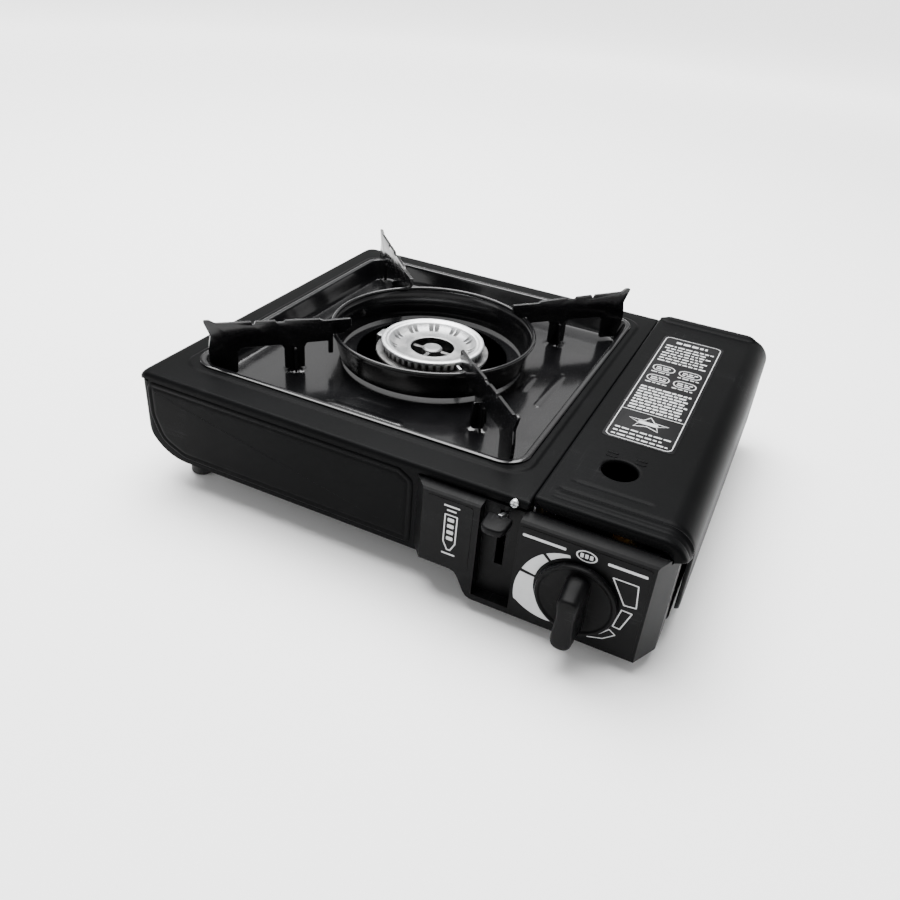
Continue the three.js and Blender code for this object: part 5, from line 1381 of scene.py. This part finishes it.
sign = np.column_stack([middle + 1.5 * reach * np.cos(star), divider - 11.5 + reach * np.sin(star)])
prints.append(closed_tube([
    onto_table(sign, FILM_TOP - 0.05), onto_table(sign, PRINT_TOP),
    onto_table(inward(sign, 0.8), PRINT_TOP), onto_table(inward(sign, 0.8), FILM_TOP - 0.05),
], wrap_rows=True))
prints.append(print_shell(bar_outline(middle - 6.0, middle + 6.0, divider - 13.2, divider - 9.6, 1.2)))
for k in range(3):
    prints += words(inside_left, inside_right - 4 * (k % 2), y0 + 3.0 + 4.2 * k, 1.4)
make_piece("lid_label_print", prints, WHITE_INK, "lid")
# %% [markdown]
# ## Control box
#
# The box at the front right is moulded in black plastic: a flat face with bevelled ends, an
# upright channel for the lever and a foot that steps down. The CAD solid already has those
# surfaces, so it is kept, welded, and its edges are rounded by a Bevel modifier. Two shallow
# panels are then laid on its face. Moulders raise such fields so that the print has a flat bed.

# %% Box and its two panels
soften("control_box", "stove_body", "box_plastic", 0.6, segments=3)
box_low, box_high = node_box("control_box")
knob_low, knob_high = node_box("control_knob")
BOX_FACE = box_low[1]
PANEL_RISE = 0.25
KNOB_RADIUS = (knob_high[0] - knob_low[0]) / 2
knob_x, knob_z = (knob_low[0] + knob_high[0]) / 2, (knob_low[2] + knob_high[2]) / 2
panel_top = box_high[2] - 3.2


def panel_shell(corners, radius):
    """A raised panel on the control box's front face."""
    return plate_shell(fillet(corners, radius, 5), BOX_FACE + 0.3, BOX_FACE - PANEL_RISE, 0.0, onto_front)


def upright(x0, x1, z0, z1):
    """A rectangle's four corners in x and z, counter-clockwise from the lower left."""
    return [(x0, z0), (x1, z0), (x1, z1), (x0, z1)]


panels = [
    panel_shell(upright(knob_x - 88.5, knob_x - 61.5, 28.5, panel_top), 2.0),
    panel_shell(upright(knob_x - 35.0, knob_x + 34.0, 12.5, panel_top), 2.5),
]
make_piece("control_box_panels", panels, FINISHES["box_plastic"], "stove_body")

# %% [markdown]
# ### Marks around the knob
#
# The marks show the flame's size: three filled blocks grow on the left, three outlined ones on the
# right. They are worked out round the knob's axis from angles and radii. The words and the sign in
# the middle are left out; a ring with three blocks stands in for them.

# %% Printed marks
FACE = BOX_FACE - PANEL_RISE
INK = 0.06


def front_print(outline):
    """A thin slab of ink on the front: one outline at two depths."""
    return closed_tube([onto_front(outline, FACE + 0.05), onto_front(outline, FACE - INK)])


def front_frame(corners, radius, width):
    """An outlined shape: the outline and the same corners moved inwards."""
    outer = fillet(corners, radius, 4)
    inner = fillet(inset_corners(corners, width), radius * 0.6, 4)
    loops = [
        onto_front(outer, FACE + 0.05), onto_front(outer, FACE - INK),
        onto_front(inner, FACE - INK), onto_front(inner, FACE + 0.05),
    ]
    return closed_tube(loops, wrap_rows=True)


def flame_block(start, end, outer_start, outer_end, inner):
    """A piece of a ring round the knob whose outer radius changes evenly from start to end."""
    angles = np.radians(np.linspace(start, end, 14))
    outer_radius = np.linspace(outer_start, outer_end, 14)
    outer = np.column_stack([outer_radius * np.cos(angles), outer_radius * np.sin(angles)])
    inside = inner * np.column_stack([np.cos(angles), np.sin(angles)])
    return np.concatenate([outer, inside[::-1]]) + [knob_x, knob_z]


marks = [
    front_print(flame_block(107, 134, 25.4, 28.2, 23.9)),
    front_print(flame_block(138, 170, 28.6, 31.6, 23.9)),
    front_print(np.concatenate([
        flame_block(174, 206, 32.0, 37.0, 23.9)[:14], flame_block(208, 248, 36.0, 24.4, 23.9)[:14],
        flame_block(174, 248, 24, 24, 23.9)[14:],
    ])),
]
LINE = 0.65
for corners in (
    [(23.8, 5.3), (30.5, 6.1), (29.0, 20.5), (15.2, 20.5)],
    [(20.6, -10.5), (25.1, -10.8), (29.4, 2.3), (23.2, 2.5)],
    [(8.8, -21.9), (9.5, -23.6), (17.6, -21.0), (23.8, -15.5), (19.8, -12.8), (15.2, -18.1)],
):
    shape = np.array(corners) + [knob_x, knob_z]
    area = (shape[:, 0] * np.roll(shape[:, 1], -1) - np.roll(shape[:, 0], -1) * shape[:, 1]).sum()
    shape = shape if area > 0 else shape[::-1]
    marks.append(front_frame(shape, 0.5, LINE if np.ptp(shape[:, 1]) > 11 else 0.5))
top_line = knob_z + 27.2
for x0, x1 in ((-33.4, -10.0), (11.8, 32.0)):
    marks.append(front_print(bar_outline(knob_x + x0, knob_x + x1, top_line - 0.8, top_line + 0.8, 0.5)))
ring = np.linspace(0, 2 * np.pi, 40, endpoint=False)
oval = np.column_stack([5.6 * np.cos(ring), 3.4 * np.sin(ring)])
oval_place = np.array([knob_x + 0.8, top_line])
marks.append(closed_tube([
    onto_front(oval + oval_place, FACE + 0.05), onto_front(oval + oval_place, FACE - INK),
    onto_front(0.84 * oval + oval_place, FACE - INK), onto_front(0.84 * oval + oval_place, FACE + 0.05),
], wrap_rows=True))
for k in (-1, 0, 1):
    x = oval_place[0] + 2.5 * k
    marks.append(front_print(bar_outline(x - 0.85, x + 0.85, top_line - 1.3, top_line + 1.3, 0.4)))

# %% Cartridge picture left of the lever
picture_x = knob_x - 73.5
for z, half in ((66.4, 4.6), (63.6, 2.8), (34.6, 4.0)):
    marks.append(front_print(bar_outline(picture_x - half, picture_x + half, z, z + 1.0, 0.3)))
can = [
    (picture_x - 1.2, 37.6), (picture_x + 1.2, 37.6), (picture_x + 3.9, 43.0), (picture_x + 3.9, 61.5),
    (picture_x - 3.9, 61.5), (picture_x - 3.9, 43.0),
]
marks.append(front_frame(can, 0.5, 0.75))
for k in range(4):
    base = 44.6 + 4.1 * k
    marks.append(front_print(bar_outline(picture_x - 1.9, picture_x + 1.9, base, base + 2.3, 0.5)))
make_piece("control_box_print", marks, WHITE_INK, "stove_body")
print(len(marks), "printed marks")

# %% [markdown]
# ## Gas knob
#
# The knob is a disc with a raised rim and a long grip across it. The disc is a profile turned
# round the knob's axis; turning it upright swaps y and z. The grip is a stack of outlines: each
# is narrower than the one before, which is the draft that lets it leave the mould, and the last
# ones step in along a quarter circle. Its sides are hollowed a little for finger and thumb.

# %% Knob
disc_back = knob_high[1]
stand_out = disc_back - knob_low[1]
DISC_PROFILE = [
    (1.0, 0.0), (KNOB_RADIUS - 0.8, 0.0), (KNOB_RADIUS - 0.25, 0.2), (KNOB_RADIUS, 0.7),
    (KNOB_RADIUS - 0.1, 2.9), (KNOB_RADIUS - 0.5, 3.7), (KNOB_RADIUS - 1.2, 4.0),
    (KNOB_RADIUS - 2.0, 3.85), (KNOB_RADIUS - 2.5, 3.3), (KNOB_RADIUS - 3.2, 3.05), (1.0, 3.0),
]


def onto_knob(points):
    """Turns an upright piece about x: its height becomes the distance in front of the disc."""
    points = np.asarray(points, float)
    return np.stack([knob_x + points[..., 0], disc_back - points[..., 2], knob_z + points[..., 1]], -1)


ring = np.linspace(0, 2 * np.pi, 97)[:-1]
disc_rows = [
    onto_knob(np.column_stack([r * np.cos(ring), r * np.sin(ring), np.full(len(ring), h)]))
    for r, h in DISC_PROFILE
]
GRIP_HALF, GRIP_REACH = 6.5, 21.6
grip_outline = bar_outline(-GRIP_HALF, GRIP_HALF, -GRIP_REACH, 17.0, 5.2)


def refined(outline, step):
    """The same closed outline with points no further apart than step."""
    points = []
    for first, second in zip(outline, np.roll(outline, -1, 0)):
        pieces = max(1, int(np.ceil(np.linalg.norm(second - first) / step)))
        points += [first + (second - first) * k / pieces for k in range(pieces)]
    return np.array(points)


grip_outline = refined(grip_outline, 1.6)
grip_rows = []
top_round = 1.8
levels = [(height, 0.0) for height in np.linspace(1.5, stand_out - top_round, 9)]
levels += [
    (stand_out - top_round * (1 - math.sin(t)), top_round * (1 - math.cos(t)))
    for t in np.linspace(0, np.pi / 2, 7)[1:]
]
for height, inset in levels:
    share = height / stand_out
    waist = 1 - 0.17 * np.exp(-((grip_outline[:, 1] / 9.0) ** 2)) * smooth(share, 0.12, 0.75)
    half = (GRIP_HALF - 0.9 * share - inset) / GRIP_HALF
    reach_scale = (GRIP_REACH - 0.7 * share - inset) / GRIP_REACH
    slope = 1 - 0.24 * smooth(share, 0.25, 1.0) * (grip_outline[:, 1] > 0)
    loop = np.column_stack([grip_outline[:, 0] * waist * half, grip_outline[:, 1] * reach_scale * slope])
    grip_rows.append(onto_knob(np.column_stack([loop, np.full(len(loop), height)])))
make_piece(
    "control_knob_moulded", [closed_tube(disc_rows), closed_tube(grip_rows)],
    FINISHES["knob_plastic"], "knob", ["control_knob"], sharp=38,
)
dot = 0.95 * np.column_stack([np.cos(ring[::4]), np.sin(ring[::4])]) + [0, 10.4]
dot_rows = [onto_knob(np.column_stack([dot, np.full(24, h)])) for h in (stand_out - 0.3, stand_out - 0.02)]
make_piece("control_knob_dot", [closed_tube(dot_rows)], GREY_INK, "knob")

# %% [markdown]
# ## Lever pad and the small metal parts
#
# The pad is a rounded plastic shelf pressed onto the end of the steel lever. The lever, the hinge
# and the feet are visible but simple, so a fine bevel is enough to make their edges catch light.

# %% Lever pad and rounded small parts
pad_low, pad_high = node_box("lever_pad")
pad = fillet(upright(pad_low[0], pad_high[0], pad_low[1], pad_high[1]), [5.6, 5.6, 1.2, 1.2], 9)
make_piece(
    "lever_pad_moulded", [plate_shell(pad, pad_low[2], pad_high[2], 1.1, onto_table)],
    FINISHES["knob_plastic"], "lever", ["lever_pad"],
)
SMALL_PARTS = [
    ("lock_lever", "lever", 0.35), ("hinge_rod", "stove_body", 0.3), ("hinge_ear_left", "stove_body", 0.2),
    ("hinge_ear_right", "stove_body", 0.2), ("foot_front_left", "stove_body", 0.8),
    ("foot_rear_left", "stove_body", 0.8), ("foot_front_right", "stove_body", 0.8),
    ("foot_rear_right", "stove_body", 0.8),
]
for node, body, edge in SMALL_PARTS:
    soften(node, body, slots_of[node], edge)
print(len(SMALL_PARTS), "small parts rounded")

# %% [markdown]
# ### Screw of the top plate
#
# A small domed head. Its height over the plate is worked out on a grid of rings: a shallow cap
# from which a cross is pressed out, with flanks that slope a little as a driver's bit leaves them.

# %% Screw head
screw_low, screw_high = node_box("top_plate_screw")
screw_x, screw_z = (screw_low[0] + screw_high[0]) / 2, (screw_low[2] + screw_high[2]) / 2
SCREW_RADIUS, SCREW_STEPS = (screw_high[0] - screw_low[0]) / 2, 96
spin = np.linspace(0, 2 * np.pi, SCREW_STEPS, endpoint=False)
head_tall = min(1.5, 0.8 * (screw_high[1] - screw_low[1]))


def head_height(radius):
    """A cap with a cross in it: the cross reaches out to six tenths of the radius."""
    x, z = radius * np.cos(spin), radius * np.sin(spin)
    cap = head_tall * np.sqrt(np.clip(1 - (radius / (1.04 * SCREW_RADIUS)) ** 2, 0, 1))
    arm = np.minimum(np.abs(x), np.abs(z))
    cross = (1 - smooth(arm, 0.22, 0.42)) * (1 - smooth(radius, 1.25, 1.6))
    return cap - 0.6 * cross


def screw_ring(radius, y):
    """The points of the head at one radius from its axis; y is the depth of each point."""
    return np.column_stack([screw_x + radius * np.cos(spin), y, screw_z + radius * np.sin(spin)])


screw_rows = [screw_ring(SCREW_RADIUS, np.full(SCREW_STEPS, screw_high[1]))]
face = screw_low[1] + head_tall
screw_rows += [
    screw_ring(radius, face - head_height(radius)) for radius in np.linspace(SCREW_RADIUS, 0.05, 26)
]
make_piece(
    "top_plate_screw_head", [closed_tube(screw_rows)],
    FINISHES["galvanised_steel"], "stove_body", ["top_plate_screw"], sharp=50,
)
# %% [markdown]
# ## What is left of the frame
#
# The pieces inside the case are right as the CAD gave them. Each gets the finish of its slot.

# %% Finishes for the other CAD nodes
for name, node in frame["nodes"].items():
    node.data.materials.clear()
    node.data.materials.append(FINISHES[slots_of[name]])
print(len(frame["nodes"]), "nodes have their finish")

# %% [markdown]
# ## Floor
#
# A plain pale table, large enough to fill the view and to take the soft shadow.

# %% Floor
FLOOR_HALF = 9.0
floor_mesh = bpy.data.meshes.new("floor")
corners = FLOOR_HALF * np.array([(-1, -1, 0), (1, -1, 0), (1, 1, 0), (-1, 1, 0)], float)
floor_mesh.from_pydata(corners.tolist(), [], [(0, 1, 2, 3)])
floor = bpy.data.objects.new("floor", floor_mesh)
table_top = Finish("pale_table", Roughness=0.7, Specular_IOR_Level=0.2, Emission_Strength=2.2)
mottle = table_top.noise(0.4)
table_top.feed("Base Color", table_top.mix(mottle, (0.93, 0.93, 0.93), (0.95, 0.95, 0.95)))
across_table = table_top.axes()
far_out = (across_table[0] * across_table[0] + across_table[1] * across_table[1]).ramp(0.25, 5.0)
table_top.feed("Emission Color", table_top.mix(far_out, (0, 0, 0), (1, 1, 1)))
floor_mesh.materials.append(table_top.material)
bpy.context.scene.collection.objects.link(floor)
